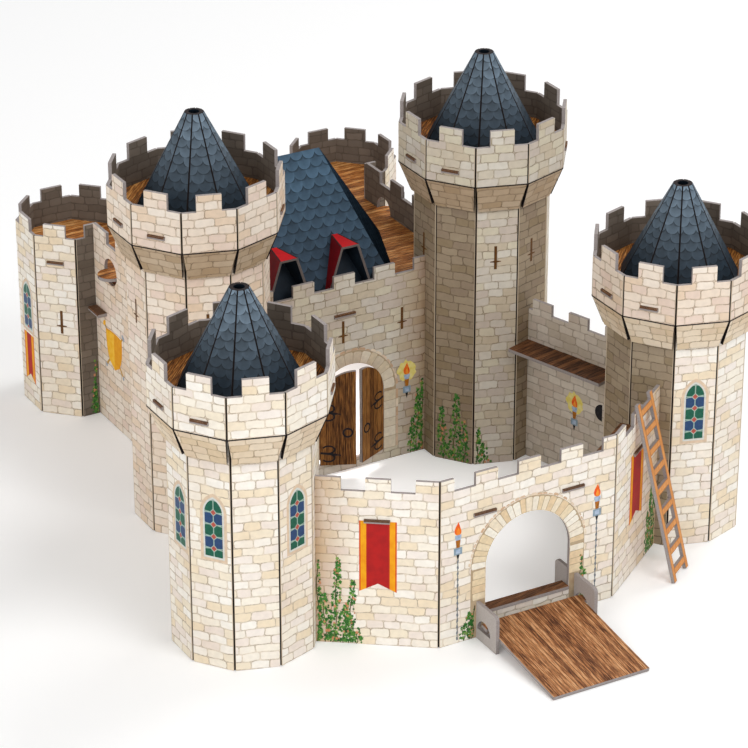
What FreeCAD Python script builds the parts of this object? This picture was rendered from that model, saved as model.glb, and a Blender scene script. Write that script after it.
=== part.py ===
import FreeCAD
import Part
import math
import os

V = FreeCAD.Vector

# Driving dimensions, in millimetres. Plan frame: the gate faces -Y and X = 0 is the gate's middle.
board = 3.0                     # thickness of the grey board that every sheet is cut from
fit = 0.15                      # clearance between sheets that butt or slot together
fold_width = 2.2                # width of the dark V cut along each outward fold
fold_depth = 2.0

tower_sides = 10
tower_apothem = 57.35           # middle of a tower to the outer face of its sleeve
crown_apothem = 70.5            # the same for the crown band
front_tower_x = 203.5
rear_tower_x = 137.3
rear_tower_y = 204.9
low_crenel_z = 246.6            # floor of the crown's gaps on the front towers
rear_tower_rise = 58.6          # the rear towers are this much taller
crown_band = 36.1               # crown band below its crenels
crown_flare = 26.0              # height of the leaning flaps under the band
crown_merlon = 14.3
crown_merlon_width = 20.6
deck_drop = 23.1                # crown crenel down to the deck's top
deck_tab_width = 15.5
deck_tab_proud = 1.6
deck_tab_faces = (1, 2, 7, 8)   # counted clockwise from the corner at -Y
cone_base_apothem = 48.3
cone_top_apothem = 7.8
cone_height = 81.7

keep_wall_y = 202.9             # outer face of the keep's front wall
keep_crenel_z = 176.7
keep_merlon = 10.8
merlon_width = 20.2             # shared by the straight walls and the turrets
crenel_width = 19.2
corner_merlon_width = 26.0      # where a keep side wall meets its turret
turret_corner_merlon = 8.0
keep_side_x = 139.3             # outer faces of the keep's side walls
floor_top_z = 151.5
door_x = 6.3                    # the doorway is a little right of the middle
door_half = 32.2
door_sill_z = 10.2
door_spring_z = 69.5
door_swing = 25.0               # each leaf stands open this many degrees
door_gap = 0.6                  # knife gap round each leaf
door_strip_ends = 6.0           # the uncut strip at the jamb stops this short of sill and arch
turret_y = 456.2
turret_apothem = 47.5
turret_crenel_z = 174.4
turret_merlon = 11.8
hole_y = 375.5                  # domed hole in each side wall, with the floor's round lip in it
hole_half = 12.5
hole_bottom_z = 147.6
hole_spring_z = 152.5
gallery_top_z = 108.5
gallery_tab_y = (386.5, 407.5)
gallery_tab_proud = 8.5
gallery_front = 25.0            # the gallery starts this far in front of its tabs

roof_front_y = 207.0
roof_rear_y = 341.0
roof_front_x = (-71.5, 60.0)
roof_rear_x = (-123.5, 112.0)
roof_ridge_x = (-29.0, 11.0)
roof_ridge_y = 267.0
roof_ridge_z = 279.5
dormer_x = (-51.0, 8.0)
dormer_top_z = 211.5
dormer_foot_z = 172.0
dormer_top_half = 8.5
dormer_foot_half = 21.0
dormer_back_half = 3.0
dormer_board = 2.0
dormer_back_splay = 1.3         # the cheeks spread this much more at the slope than at the front

gate_y = -97.8                  # outer face of the gate panel
gate_half = 82.0
gate_fold = 36.0                # each side panel folds back this many degrees
gate_crenel_z = 137.7
gate_merlon = 11.3
gate_corner_front = 13.0        # corner merlon: its run on the gate panel, and on the side panel
gate_corner_side = 19.2
arch_half = 39.3
arch_spring_z = 62.2
sill_z = 20.0
walk_top_z = 113.5
walk_width = 26.0
walk_tab_width = 20.5
walk_tab_proud = 1.6
walk_end_gap = 12.0             # the gate's wall-walk stops this short of the towers
gate_tab_x = (-41.0, 41.0)
side_tab_s = 49.4               # from the fold to the middle of a side panel's tab
threshold_depth = 11.0
threshold_proud = 1.0
plate_inner_x = 44.6
plate_front_y = -128.5
plate_rear_y = -69.0
plate_height = 33.0
plate_corner = 4.0
hinge_y = -109.7
hinge_z = 14.3
hinge_hole = 10.0               # radius of the half-moon hole in each plate
bridge_reach = 100.2            # hinge to the far end
bridge_stub = 5.0               # hinge to the end at the gate
bridge_tab = 8.0
hinge_play = 0.4                # under the tab's corner as it turns

curtain_crenel_z = 142.5
curtain_merlon = 10.3
curtain_merlon_width = 21.0
curtain_crenel_width = 19.0
curtain_first_merlon = 4.5      # from the rear tower's end

ladder_width = 32.4
ladder_length = 160.0
ladder_rail = 5.2
ladder_rung = 5.6
ladder_windows = 8
ladder_gap = 12.2
ladder_foot_out = 36.6          # foot of the ladder out from the gate's side panel
ladder_s = 41.0                 # from the fold to the ladder's near rail


def prism(outline, z0, z1):
    wire = Part.makePolygon([V(x, y, z0) for x, y in outline] + [V(outline[0][0], outline[0][1], z0)])
    return Part.Face(wire).extrude(V(0, 0, z1 - z0))


def box(x0, x1, y0, y1, z0, z1):
    return Part.makeBox(x1 - x0, y1 - y0, z1 - z0, V(x0, y0, z0))


def polyhedron(faces):
    shell = Part.makeShell([Part.Face(Part.makePolygon(list(f) + [f[0]])) for f in faces])
    return Part.makeSolid(shell)


def mirror_x(shape):
    return shape.mirror(V(0, 0, 0), V(1, 0, 0))


def regular(cx, cy, apothem, sides, first_corner):
    radius = apothem / math.cos(math.pi / sides)
    step = 2 * math.pi / sides
    return [(cx + radius * math.cos(first_corner - i * step), cy + radius * math.sin(first_corner - i * step))
            for i in range(sides)]


def lengths(path):
    # Running distance along a folded sheet, corner by corner.
    out = [0.0]
    for a, b in zip(path, path[1:]):
        out.append(out[-1] + math.dist(a, b))
    return out


def at(path, s):
    marks = lengths(path)
    for i in range(len(path) - 1):
        if s <= marks[i + 1] + 1e-9 or i == len(path) - 2:
            f = (s - marks[i]) / (marks[i + 1] - marks[i])
            a, b = path[i], path[i + 1]
            return (a[0] + (b[0] - a[0]) * f, a[1] + (b[1] - a[1]) * f)


def inward(a, b):
    run = math.dist(a, b)
    return ((b[1] - a[1]) / run, -(b[0] - a[0]) / run)


def corner_in(a, b, c, depth):
    # The point behind corner b of a folded sheet whose inner side is on the right of a, b, c.
    n1, n2 = inward(a, b), inward(b, c)
    scale = depth / (1 + n1[0] * n2[0] + n1[1] * n2[1])
    return (b[0] + (n1[0] + n2[0]) * scale, b[1] + (n1[1] + n2[1]) * scale)


def stretch(path, s0, s1, z0, z1, depth=board):
    # A piece of folded sheet along path from s0 to s1; path is its outer face.
    marks = lengths(path)
    inner_corners = [i for i in range(1, len(path) - 1) if s0 + 1e-6 < marks[i] < s1 - 1e-6]
    start, end = at(path, s0), at(path, s1)
    outer = [start] + [path[i] for i in inner_corners] + [end]
    n0 = inward(outer[0], outer[1])
    n1 = inward(outer[-2], outer[-1])
    back = [(start[0] + n0[0] * depth, start[1] + n0[1] * depth)]
    for a, b, c in zip(outer, outer[1:], outer[2:]):
        back.append(corner_in(a, b, c, depth))
    back.append((end[0] + n1[0] * depth, end[1] + n1[1] * depth))
    return prism(outer + back[::-1], z0, z1)


def fold_cut(a, b, c, z0, z1):
    # The V cut along an outward fold at corner b.
    ab, bc = math.dist(a, b), math.dist(b, c)
    half = fold_width / 2
    p = (b[0] + (a[0] - b[0]) / ab * half, b[1] + (a[1] - b[1]) / ab * half)
    q = (b[0] + (c[0] - b[0]) / bc * half, b[1] + (c[1] - b[1]) / bc * half)
    tip = corner_in(a, b, c, fold_depth)
    out = corner_in(a, b, c, -fold_depth)
    return prism([p, tip, q, out], z0 - 1, z1 + 1)


def in_wall(shape, origin, angle):
    # From wall axes (X along the wall, Y into it, Z up) to the plan.
    shape.rotate(V(0, 0, 0), V(0, 0, 1), angle)
    shape.translate(V(origin[0], origin[1], 0))
    return shape


def arch_cut(x, half, z0, spring, y0, y1):
    straight = box(x - half, x + half, y0, y1, z0, spring)
    head = Part.makeCylinder(half, y1 - y0, V(x, y0, spring), V(0, 1, 0))
    return straight.fuse(head)


# Towers: a folded sleeve, a crown with leaning flaps, a deck with tabs, and a folded cone.
tower_corner = -math.pi / 2
towers = {
    "front_left": (-front_tower_x, 0.0, 0.0),
    "front_right": (front_tower_x, 0.0, 0.0),
    "rear_left": (-rear_tower_x, rear_tower_y, rear_tower_rise),
    "rear_right": (rear_tower_x, rear_tower_y, rear_tower_rise),
}
deck_edge_apothem = crown_apothem - board - fit


def closed(outline):
    return outline + [outline[0], outline[1]]


def tower_sleeve(cx, cy, rise):
    top = low_crenel_z + rise - deck_drop - board
    outline = regular(cx, cy, tower_apothem, tower_sides, tower_corner)
    hollow = regular(cx, cy, tower_apothem - board, tower_sides, tower_corner)
    sleeve = prism(outline, 0, top).cut(prism(hollow, -1, top + 1))
    ring = closed(outline)
    cuts = [fold_cut(ring[i], ring[i + 1], ring[i + 2], 0, top) for i in range(tower_sides)]
    return sleeve.cut(cuts)


def ring_loft(cx, cy, apothem0, z0, apothem1, z1):
    wires = []
    for apothem, z in ((apothem0, z0), (apothem1, z1)):
        pts = [V(x, y, z) for x, y in regular(cx, cy, apothem, tower_sides, tower_corner)]
        wires.append(Part.makePolygon(pts + [pts[0]]))
    return Part.makeLoft(wires, True, True)


def crown_slot(cx, cy, face, z0, z1, width, depth_in, depth_out):
    angle = math.degrees(tower_corner) - 360.0 / tower_sides * (face + 0.5)
    slot = box(crown_apothem - depth_in, crown_apothem + depth_out, -width / 2, width / 2, z0, z1)
    slot.rotate(V(0, 0, 0), V(0, 0, 1), angle)
    slot.translate(V(cx, cy, 0))
    return slot


def tower_crown(cx, cy, rise):
    crenel = low_crenel_z + rise
    band_bottom = crenel - crown_band
    flap_bottom = band_bottom - crown_flare
    outline = regular(cx, cy, crown_apothem, tower_sides, tower_corner)
    hollow = regular(cx, cy, crown_apothem - board, tower_sides, tower_corner)
    band = prism(outline, band_bottom, crenel).cut(prism(hollow, band_bottom - 1, crenel + 1))
    foot = tower_apothem + fit
    lean = math.hypot(crown_apothem - board - foot, crown_flare) / crown_flare
    flaps = ring_loft(cx, cy, foot + board * lean, flap_bottom, crown_apothem, band_bottom)
    inside = ring_loft(cx, cy, foot, flap_bottom, crown_apothem - board, band_bottom)
    flaps = flaps.cut(inside)
    ring = closed(outline)
    side = math.dist(outline[0], outline[1])
    low = closed(regular(cx, cy, foot + board * lean, tower_sides, tower_corner))
    cuts = []
    for i in range(tower_sides):
        cuts.append(fold_cut(ring[i], ring[i + 1], ring[i + 2], band_bottom, crenel))
        cuts.append(flap_gap(ring[i + 1], low[i + 1], (cx, cy), band_bottom, flap_bottom))
    crown = band.fuse(flaps).cut(cuts)
    merlons = []
    for i in range(tower_sides):
        start = (side - crown_merlon_width) / 2
        merlons.append(stretch([ring[i], ring[i + 1]], start, side - start, crenel, crenel + crown_merlon))
    crown = crown.fuse(merlons).removeSplitter()
    deck_top = crenel - deck_drop
    slots = [crown_slot(cx, cy, f, deck_top - board - fit, deck_top + 2 * fit, deck_tab_width + 2 * fit,
                        board + 2, 2) for f in deck_tab_faces]
    return crown.cut(slots)


def flap_gap(top, bottom, centre, z_top, z_bottom):
    # The narrow wedge left open between two leaning flaps.
    out = []
    for (x, y), z, half in ((bottom, z_bottom - 0.5, fold_width), (top, z_top, fold_width / 2)):
        r = math.hypot(x - centre[0], y - centre[1])
        ux, uy = (x - centre[0]) / r, (y - centre[1]) / r
        near, far = -2 * board, board
        pts = [(x + ux * near - uy * half, y + uy * near + ux * half),
               (x + ux * far - uy * half, y + uy * far + ux * half),
               (x + ux * far + uy * half, y + uy * far - ux * half),
               (x + ux * near + uy * half, y + uy * near - ux * half)]
        out.append(Part.makePolygon([V(a, b, z) for a, b in pts + [pts[0]]]))
    return Part.makeLoft(out, True, True)


def tower_deck(cx, cy, rise):
    top = low_crenel_z + rise - deck_drop
    plate = prism(regular(cx, cy, deck_edge_apothem, tower_sides, tower_corner), top - board, top)
    tabs = [crown_slot(cx, cy, f, top - board, top, deck_tab_width, board + 1, deck_tab_proud)
            for f in deck_tab_faces]
    return plate.fuse(tabs).removeSplitter()


def tower_cone(cx, cy, rise):
    foot = low_crenel_z + rise - deck_drop
    top = foot + cone_height
    slope = (cone_base_apothem - cone_top_apothem) / cone_height
    wall = board * math.sqrt(1 + slope * slope)
    outer = ring_loft(cx, cy, cone_base_apothem, foot, cone_top_apothem, top)
    over = 1.0
    inner = ring_loft(cx, cy, cone_base_apothem - wall + slope * over, foot - over,
                      cone_top_apothem - wall - slope * over, top + over)
    cone = outer.cut(inner)
    low = regular(cx, cy, cone_base_apothem, tower_sides, tower_corner)
    high = regular(cx, cy, cone_top_apothem, tower_sides, tower_corner)
    cuts = []
    for (x0, y0), (x1, y1) in zip(low, high):
        r0, r1 = math.hypot(x0 - cx, y0 - cy), math.hypot(x1 - cx, y1 - cy)
        ux, uy = (x0 - cx) / r0, (y0 - cy) / r0
        wires = []
        for r, z, half in ((r0, foot, fold_width / 2), (r1, top, fold_width / 3)):
            tip, out = r - fold_depth * 0.8, r + fold_depth
            pts = [(cx + ux * tip, cy + uy * tip),
                   (cx + ux * out - uy * half * 2, cy + uy * out + ux * half * 2),
                   (cx + ux * out + uy * half * 2, cy + uy * out - ux * half * 2)]
            wires.append(Part.makePolygon([V(a, b, z) for a, b in pts + [pts[0]]]))
        cuts.append(Part.makeLoft(wires, True, True))
    return cone.cut(cuts)


# Keep: a front wall between the rear towers, side walls that run on round the open turrets,
# a back wall, a floor, a gallery, a hipped roof and two dormers.
def keep_front_wall():
    # Fills the gap between the facing flats of the rear towers.
    end = rear_tower_x - tower_apothem - fit
    inner_y = keep_wall_y + board
    wall = box(-end, end, keep_wall_y, inner_y, 0, keep_crenel_z)
    pitch = merlon_width + crenel_width
    merlons = []
    for i in (-2, -1, 0, 1, 2):
        x0 = max(i * pitch - merlon_width / 2, -end)
        x1 = min(i * pitch + merlon_width / 2, end)
        merlons.append(box(x0, x1, keep_wall_y, inner_y, keep_crenel_z, keep_crenel_z + keep_merlon))
    wall = wall.fuse(merlons)
    doorway = arch_cut(door_x, door_half, door_sill_z, door_spring_z, keep_wall_y - 1, inner_y + 1)
    half = walk_tab_width / 2 + fit
    slot = box(-half, half, keep_wall_y - 1, inner_y + 1, floor_top_z - board - fit, floor_top_z + fit)
    wall = wall.cut([doorway, slot])
    leaves = [door_leaf(-1), door_leaf(1)]
    return wall.fuse(leaves).removeSplitter()


def door_leaf(side):
    # One leaf, still joined to the sheet at its jamb and swung out towards the gate.
    gap = door_gap
    blank = arch_cut(0, door_half - gap, door_sill_z + gap, door_spring_z, 0, board)
    half = box(0, door_half + 1, -1, board + 1, 0, door_spring_z + door_half + 1)
    leaf = blank.common(half)
    hinge_strip = box(door_half - 2 * gap, door_half + gap, 0, board, door_sill_z + door_strip_ends,
                      door_spring_z - door_strip_ends)
    leaf = leaf.fuse(hinge_strip)
    leaf.translate(V(-door_half, 0, 0))
    leaf.rotate(V(0, 0, 0), V(0, 0, 1), door_swing)
    leaf.translate(V(door_half, 0, 0))
    if side < 0:
        leaf = mirror_x(leaf)
    leaf.translate(V(door_x, keep_wall_y, 0))
    return leaf


turret_corner = -math.pi / 2 + math.pi / 8


def turret_outline():
    return regular(-rear_tower_x, turret_y, turret_apothem, 8, turret_corner)


def side_wall_path():
    # Corners of the octagon run clockwise from the one right of -Y; the sheet follows seven of its faces.
    corners = turret_outline()
    start = (-keep_side_x, rear_tower_y + tower_apothem / math.cos(math.pi / tower_sides) + fit)
    front = turret_y - turret_apothem
    end = (-rear_tower_x + turret_apothem, turret_y)
    return [start, (-keep_side_x, front)] + corners[1:7] + [end]


def rear_side_wall():
    path = side_wall_path()
    marks = lengths(path)
    wall = stretch(path, 0, marks[1], 0, keep_crenel_z)
    turret = stretch(path, marks[1], marks[-1], 0, turret_crenel_z)
    corner_x, corner_y = path[1]
    corner = box(corner_x, corner_x + board, corner_y, corner_y + board, 0, turret_crenel_z + turret_merlon)
    pieces = [turret, corner]
    top = keep_crenel_z + keep_merlon
    merlon_end = marks[1]
    while merlon_end > board:
        width = corner_merlon_width if merlon_end == marks[1] else merlon_width
        pieces.append(stretch(path, max(merlon_end - width, 0), merlon_end, keep_crenel_z - 1, top))
        merlon_end -= width + crenel_width
    pieces.append(stretch(path, marks[1], marks[1] + turret_corner_merlon, turret_crenel_z - 1,
                          turret_crenel_z + turret_merlon))
    for i in range(2, len(path) - 2):
        middle = (marks[i] + marks[i + 1]) / 2
        half = merlon_width / 2
        pieces.append(stretch(path, middle - half, middle + half, turret_crenel_z - 1,
                              turret_crenel_z + turret_merlon))
    wall = wall.fuse(pieces)
    cuts = [fold_cut(path[i - 1], path[i], path[i + 1], 0, turret_crenel_z) for i in range(2, len(path) - 1)]
    cuts.append(side_hole())
    tab = [box(-keep_side_x - 1, -keep_side_x + board + 1, gallery_tab_y[0] - fit, gallery_tab_y[1] + fit,
               gallery_top_z - board - fit, gallery_top_z + fit)]
    slot = turret_tab(2 * fit, fit)
    return wall.cut(cuts + tab + [slot]).removeSplitter()


def side_hole():
    cut = arch_cut(0, hole_half, hole_bottom_z, hole_spring_z, -board - 1, board + 1)
    return in_wall(cut, (-keep_side_x, hole_y), 90)


def turret_tab(side_gap, level_gap):
    # The floor's tab through the turret's diagonal face, or its slot when the gaps are given.
    corners = turret_outline()
    a, b = corners[1], corners[2]
    middle = ((a[0] + b[0]) / 2, (a[1] + b[1]) / 2)
    angle = math.degrees(math.atan2(middle[1] - turret_y, middle[0] + rear_tower_x))
    reach_in, reach_out = (board + 1, 1) if side_gap else (board + 1, walk_tab_proud)
    half = deck_tab_width / 2 + side_gap
    tab = box(turret_apothem - reach_in, turret_apothem + reach_out, -half, half,
              floor_top_z - board - level_gap, floor_top_z + level_gap)
    return in_wall(tab, (-rear_tower_x, turret_y), angle)


def keep_back_wall():
    end = rear_tower_x - turret_apothem - fit
    y0 = turret_y - board / 2
    wall = box(-end, end, y0, y0 + board, 0, keep_crenel_z)
    pitch = merlon_width + crenel_width
    merlons = [box(i * pitch - merlon_width / 2, i * pitch + merlon_width / 2, y0, y0 + board,
                   keep_crenel_z, keep_crenel_z + keep_merlon) for i in (-2, -1, 0, 1, 2)]
    return wall.fuse(merlons).removeSplitter()


def keep_plate(z0, z1, y_start):
    # The keep's inside in plan, turrets included, less the rear towers.
    side = keep_side_x - board - fit
    front = keep_wall_y + board + fit
    hall = box(-side, side, max(front, y_start), turret_y - board / 2 - fit, z0, z1)
    room = regular(-rear_tower_x, turret_y, turret_apothem - board - fit, 8, turret_corner)
    left = prism(room, z0, z1)
    rooms = [left, mirror_x(left)]
    plate = hall.fuse(rooms)
    keep_out = [prism(regular(s * rear_tower_x, rear_tower_y, tower_apothem + fit, tower_sides, tower_corner),
                      z0 - 1, z1 + 1) for s in (-1, 1)]
    walls = [wall_clearance(z0, z1)]
    walls.append(mirror_x(walls[0]))
    return plate.cut(keep_out + walls)


def wall_clearance(z0, z1):
    # The side wall's own board and its clearance, where the hall meets the turret.
    y1 = turret_y - turret_apothem + board + fit
    outer = box(-keep_side_x - turret_apothem, -keep_side_x + board + fit, rear_tower_y, y1, z0 - 1, z1 + 1)
    back_y = turret_y - board / 2 - fit
    x0 = -rear_tower_x + turret_apothem - board - fit
    inner = box(x0, x0 + turret_apothem, back_y, turret_y + turret_apothem, z0 - 1, z1 + 1)
    return outer.fuse(inner)


def keep_floor():
    z0, z1 = floor_top_z - board, floor_top_z
    plate = keep_plate(z0, z1, 0)
    half = walk_tab_width / 2
    front_tab = box(-half, half, keep_wall_y - walk_tab_proud, keep_wall_y + board + 1, z0, z1)
    lip = Part.makeCylinder(hole_half - 1, board, V(-keep_side_x, hole_y, z0))
    corner_tab = turret_tab(0, 0)
    tabs = [front_tab, lip, mirror_x(lip), corner_tab, mirror_x(corner_tab)]
    return plate.fuse(tabs).removeSplitter()


def gallery_floor():
    z0, z1 = gallery_top_z - board, gallery_top_z
    plate = keep_plate(z0, z1, gallery_tab_y[0] - gallery_front)
    tab = box(-keep_side_x - gallery_tab_proud, -keep_side_x + board + 1, gallery_tab_y[0], gallery_tab_y[1],
              z0, z1)
    return plate.fuse([tab, mirror_x(tab)]).removeSplitter()


def plane_of(a, b, c):
    n = (b - a).cross(c - a)
    n.normalize()
    return n, n.dot(a)


def meet(*planes):
    (n1, d1), (n2, d2), (n3, d3) = planes
    bottom = n1.dot(n2.cross(n3))
    return (n2.cross(n3) * d1 + n3.cross(n1) * d2 + n1.cross(n2) * d3) / bottom


def keep_roof():
    foot = floor_top_z
    fl, fr = V(roof_front_x[0], roof_front_y, foot), V(roof_front_x[1], roof_front_y, foot)
    rl, rr = V(roof_rear_x[0], roof_rear_y, foot), V(roof_rear_x[1], roof_rear_y, foot)
    tl, tr = V(roof_ridge_x[0], roof_ridge_y, roof_ridge_z), V(roof_ridge_x[1], roof_ridge_y, roof_ridge_z)
    outer = polyhedron([(fl, fr, tr, tl), (rr, rl, tl, tr), (rl, fl, tl), (fr, rr, tr), (fl, rl, rr, fr)])
    planes = [plane_of(fl, fr, tr), plane_of(rr, rl, tl), plane_of(rl, fl, tl), plane_of(fr, rr, tr)]
    front, rear, left, right = [(n, d - board) for n, d in planes]
    ground = (V(0, 0, 1), foot - 1)
    il, ir = meet(front, left, ground), meet(front, right, ground)
    jl, jr = meet(rear, left, ground), meet(rear, right, ground)
    kl, kr = meet(front, rear, left), meet(front, rear, right)
    inner = polyhedron([(il, ir, kr, kl), (jr, jl, kl, kr), (jl, il, kl), (ir, jr, kr), (il, jl, jr, ir)])
    return outer.cut(inner)


roof_rise = (roof_ridge_z - floor_top_z) / (roof_ridge_y - roof_front_y)


def dormer(cx):
    # A lid and two cheeks that stand on the roof's front slope, open at the front.
    def frame(y_shift, top_z, foot_z, top_half, foot_half):
        pts = []
        for half, z in ((-top_half, top_z), (top_half, top_z), (foot_half, foot_z), (-foot_half, foot_z)):
            pts.append(V(cx + half, y_shift(z), z))
        return Part.makePolygon(pts + [pts[0]])

    def on_front(z):
        return roof_front_y

    def on_slope(z):
        return roof_front_y + (z - floor_top_z) / roof_rise - fit * 2

    drop = dormer_top_z - dormer_foot_z
    foot_back = dormer_back_half + (dormer_foot_half - dormer_top_half) * dormer_back_splay
    front_frame = frame(on_front, dormer_top_z, dormer_foot_z, dormer_top_half, dormer_foot_half)
    back_frame = frame(on_slope, dormer_top_z, dormer_foot_z, dormer_back_half, foot_back)
    outer = Part.makeLoft([front_frame, back_frame], True, True)
    wall = dormer_board * math.hypot(1, (dormer_foot_half - dormer_top_half) / drop)
    lid = dormer_top_z - dormer_board
    slope = (dormer_foot_half - dormer_top_half) / drop
    back_slope = (foot_back - dormer_back_half) / drop

    def before_front(z):
        return roof_front_y - 1

    def behind_slope(z):
        return on_slope(z) + 2 * fit

    low = dormer_foot_z - 1
    inner = Part.makeLoft([
        frame(before_front, lid, low, dormer_top_half + slope * dormer_board - wall,
              dormer_foot_half + slope - wall),
        frame(behind_slope, lid, low, dormer_back_half + back_slope * dormer_board - wall,
              foot_back + back_slope - wall)], True, True)
    return outer.cut(inner)


# Gate: one sheet with two folds, its wall-walk, a threshold, two hinge plates and the drawbridge.
fold_c = math.cos(math.radians(gate_fold))
fold_s = math.sin(math.radians(gate_fold))


def gate_path():
    # Each side panel stops at the face of its tower.
    to_face = (front_tower_x - gate_half) * fold_c - gate_y * fold_s
    run = to_face - tower_apothem - fit
    left = (-gate_half - run * fold_c, gate_y + run * fold_s)
    right = (-left[0], left[1])
    # right to left, so that the courtyard side is on the right
    return [right, (gate_half, gate_y), (-gate_half, gate_y), left], run


def side_frame(side):
    angle = -gate_fold if side < 0 else gate_fold
    return (side * gate_half, gate_y), angle


def gate_slots(gap, proud, inner):
    # Tabs of the wall-walk, or the slots that they pass through when gap is set.
    z0, z1 = walk_top_z - board - gap, walk_top_z + gap
    half = walk_tab_width / 2 + gap
    out = [box(x - half, x + half, gate_y - proud, gate_y + inner, z0, z1) for x in gate_tab_x]
    for side in (-1, 1):
        origin, angle = side_frame(side)
        x = side * side_tab_s
        out.append(in_wall(box(x - half, x + half, -proud, inner, z0, z1), origin, angle))
    return out


def gate_wall():
    path, run = gate_path()
    path = path[::-1]
    # left to right, the courtyard side is on the left, so the sheet is laid to negative depth
    marks = lengths(path)
    wall = stretch(path, 0, marks[-1], 0, gate_crenel_z, -board)
    top = gate_crenel_z + gate_merlon
    middle = marks[-1] / 2
    spans = [(middle - merlon_width / 2, middle + merlon_width / 2)]
    pitch = merlon_width + crenel_width
    for side in (-1, 1):
        spans.append((middle + side * pitch - merlon_width / 2, middle + side * pitch + merlon_width / 2))
        fold = middle + side * gate_half
        ends = sorted((fold - side * gate_corner_front, fold + side * gate_corner_side))
        spans.append(tuple(ends))
        near = gate_corner_side + crenel_width
        while near < run - board:
            far = min(near + merlon_width, run)
            spans.append(tuple(sorted((fold + side * near, fold + side * far))))
            near += pitch
    wall = wall.fuse([stretch(path, max(a, 0), min(b, marks[-1]), gate_crenel_z, top, -board)
                      for a, b in spans])
    arch = arch_cut(0, arch_half, sill_z, arch_spring_z, gate_y - 1, gate_y + board + 1)
    plate_slots = []
    for side in (-1, 1):
        near = plate_inner_x - fit
        far = plate_inner_x + board + fit
        x0, x1 = sorted((side * near, side * far))
        plate_slots.append(box(x0, x1, gate_y - 1, gate_y + board + 1, -1, plate_height + fit))
    folds = [fold_cut(path[0], path[1], path[2], 0, top), fold_cut(path[1], path[2], path[3], 0, top)]
    return wall.cut([arch] + plate_slots + folds + gate_slots(fit, 1, board + 1)).removeSplitter()


def gate_walkway():
    path, run = gate_path()
    path = path[::-1]
    start, end = walk_end_gap, lengths(path)[-1] - walk_end_gap
    behind = board + fit
    z0, z1 = walk_top_z - board, walk_top_z
    wide = stretch(path, start, end, z0, z1, -(behind + walk_width))
    thin = stretch(path, 0, lengths(path)[-1], z0 - 1, z1 + 1, -behind)
    keep_out = [prism(regular(s * front_tower_x, 0, tower_apothem + fit, tower_sides, tower_corner),
                      z0 - 1, z1 + 1) for s in (-1, 1)]
    deck = wide.cut([thin] + keep_out)
    return deck.fuse(gate_slots(0, walk_tab_proud, board + 1)).removeSplitter()


# The tab turns about the hinge line just above the flat floor of the half-moon hole.
hinge_floor_z = hinge_z - math.hypot(bridge_tab / 2, board / 2) - hinge_play


def threshold_board():
    front = gate_y - threshold_proud
    return box(-arch_half + fit, arch_half - fit, front, front + threshold_depth, sill_z, sill_z + board)


def bridge_plate(side):
    y0, y1, h, r = plate_front_y, plate_rear_y, plate_height, plate_corner
    p = [V(0, y0, 0), V(0, y1, 0), V(0, y1, h - r), V(0, y1 - r, h), V(0, y0 + r, h), V(0, y0, h - r)]
    q = r * math.sqrt(0.5)
    rear = Part.Arc(p[2], V(0, y1 - r + q, h - r + q), p[3]).toShape()
    front = Part.Arc(p[4], V(0, y0 + r - q, h - r + q), p[5]).toShape()
    edges = [Part.makeLine(p[0], p[1]), Part.makeLine(p[1], p[2]), rear, Part.makeLine(p[3], p[4]), front,
             Part.makeLine(p[5], p[0])]
    plate = Part.Face(Part.Wire(edges)).extrude(V(board, 0, 0))
    moon = Part.makeCylinder(hinge_hole, board + 2, V(-1, hinge_y, hinge_floor_z), V(1, 0, 0))
    moon = moon.common(box(-1, board + 1, hinge_y - 2 * hinge_hole, hinge_y + 2 * hinge_hole, hinge_floor_z,
                           hinge_floor_z + hinge_hole))
    plate = plate.cut(moon)
    plate.translate(V(plate_inner_x, 0, 0))
    return plate if side > 0 else mirror_x(plate)


bridge_tilt = math.asin(hinge_z / math.hypot(bridge_reach, board / 2)) - math.atan(board / 2 / bridge_reach)
bridge_far_y = hinge_y - bridge_reach * math.cos(bridge_tilt) - board / 2 * math.sin(bridge_tilt)


def drawbridge():
    half = plate_inner_x - 2 * fit
    deck = box(-half, half, -bridge_reach, bridge_stub, -board / 2, board / 2)
    reach = plate_inner_x + board - 2 * fit
    tab = box(-reach, reach, -bridge_tab / 2, bridge_tab / 2, -board / 2, board / 2)
    bridge = deck.fuse(tab).removeSplitter()
    bridge.rotate(V(0, 0, 0), V(1, 0, 0), math.degrees(bridge_tilt))
    bridge.translate(V(0, hinge_y, hinge_z))
    return bridge


# Curtain walls: each runs between the facing flats of a front and a rear tower.
curtain_dx = front_tower_x - rear_tower_x
curtain_span = math.hypot(curtain_dx, rear_tower_y)
curtain_dir = (-curtain_dx / curtain_span, -rear_tower_y / curtain_span)
curtain_length = curtain_span - 2 * (tower_apothem + fit)


def curtain_path():
    # left side, from the rear tower to the front one
    start = (-rear_tower_x + curtain_dir[0] * (tower_apothem + fit),
             rear_tower_y + curtain_dir[1] * (tower_apothem + fit))
    end = (start[0] + curtain_dir[0] * curtain_length, start[1] + curtain_dir[1] * curtain_length)
    return [start, end]


def curtain_slot(gap, proud, inner):
    path = curtain_path()
    angle = math.degrees(math.atan2(curtain_dir[1], curtain_dir[0]))
    half = walk_tab_width / 2 + gap
    slot = box(curtain_length / 2 - half, curtain_length / 2 + half, -proud, inner,
               walk_top_z - board - gap, walk_top_z + gap)
    return in_wall(slot, path[0], angle)


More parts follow.
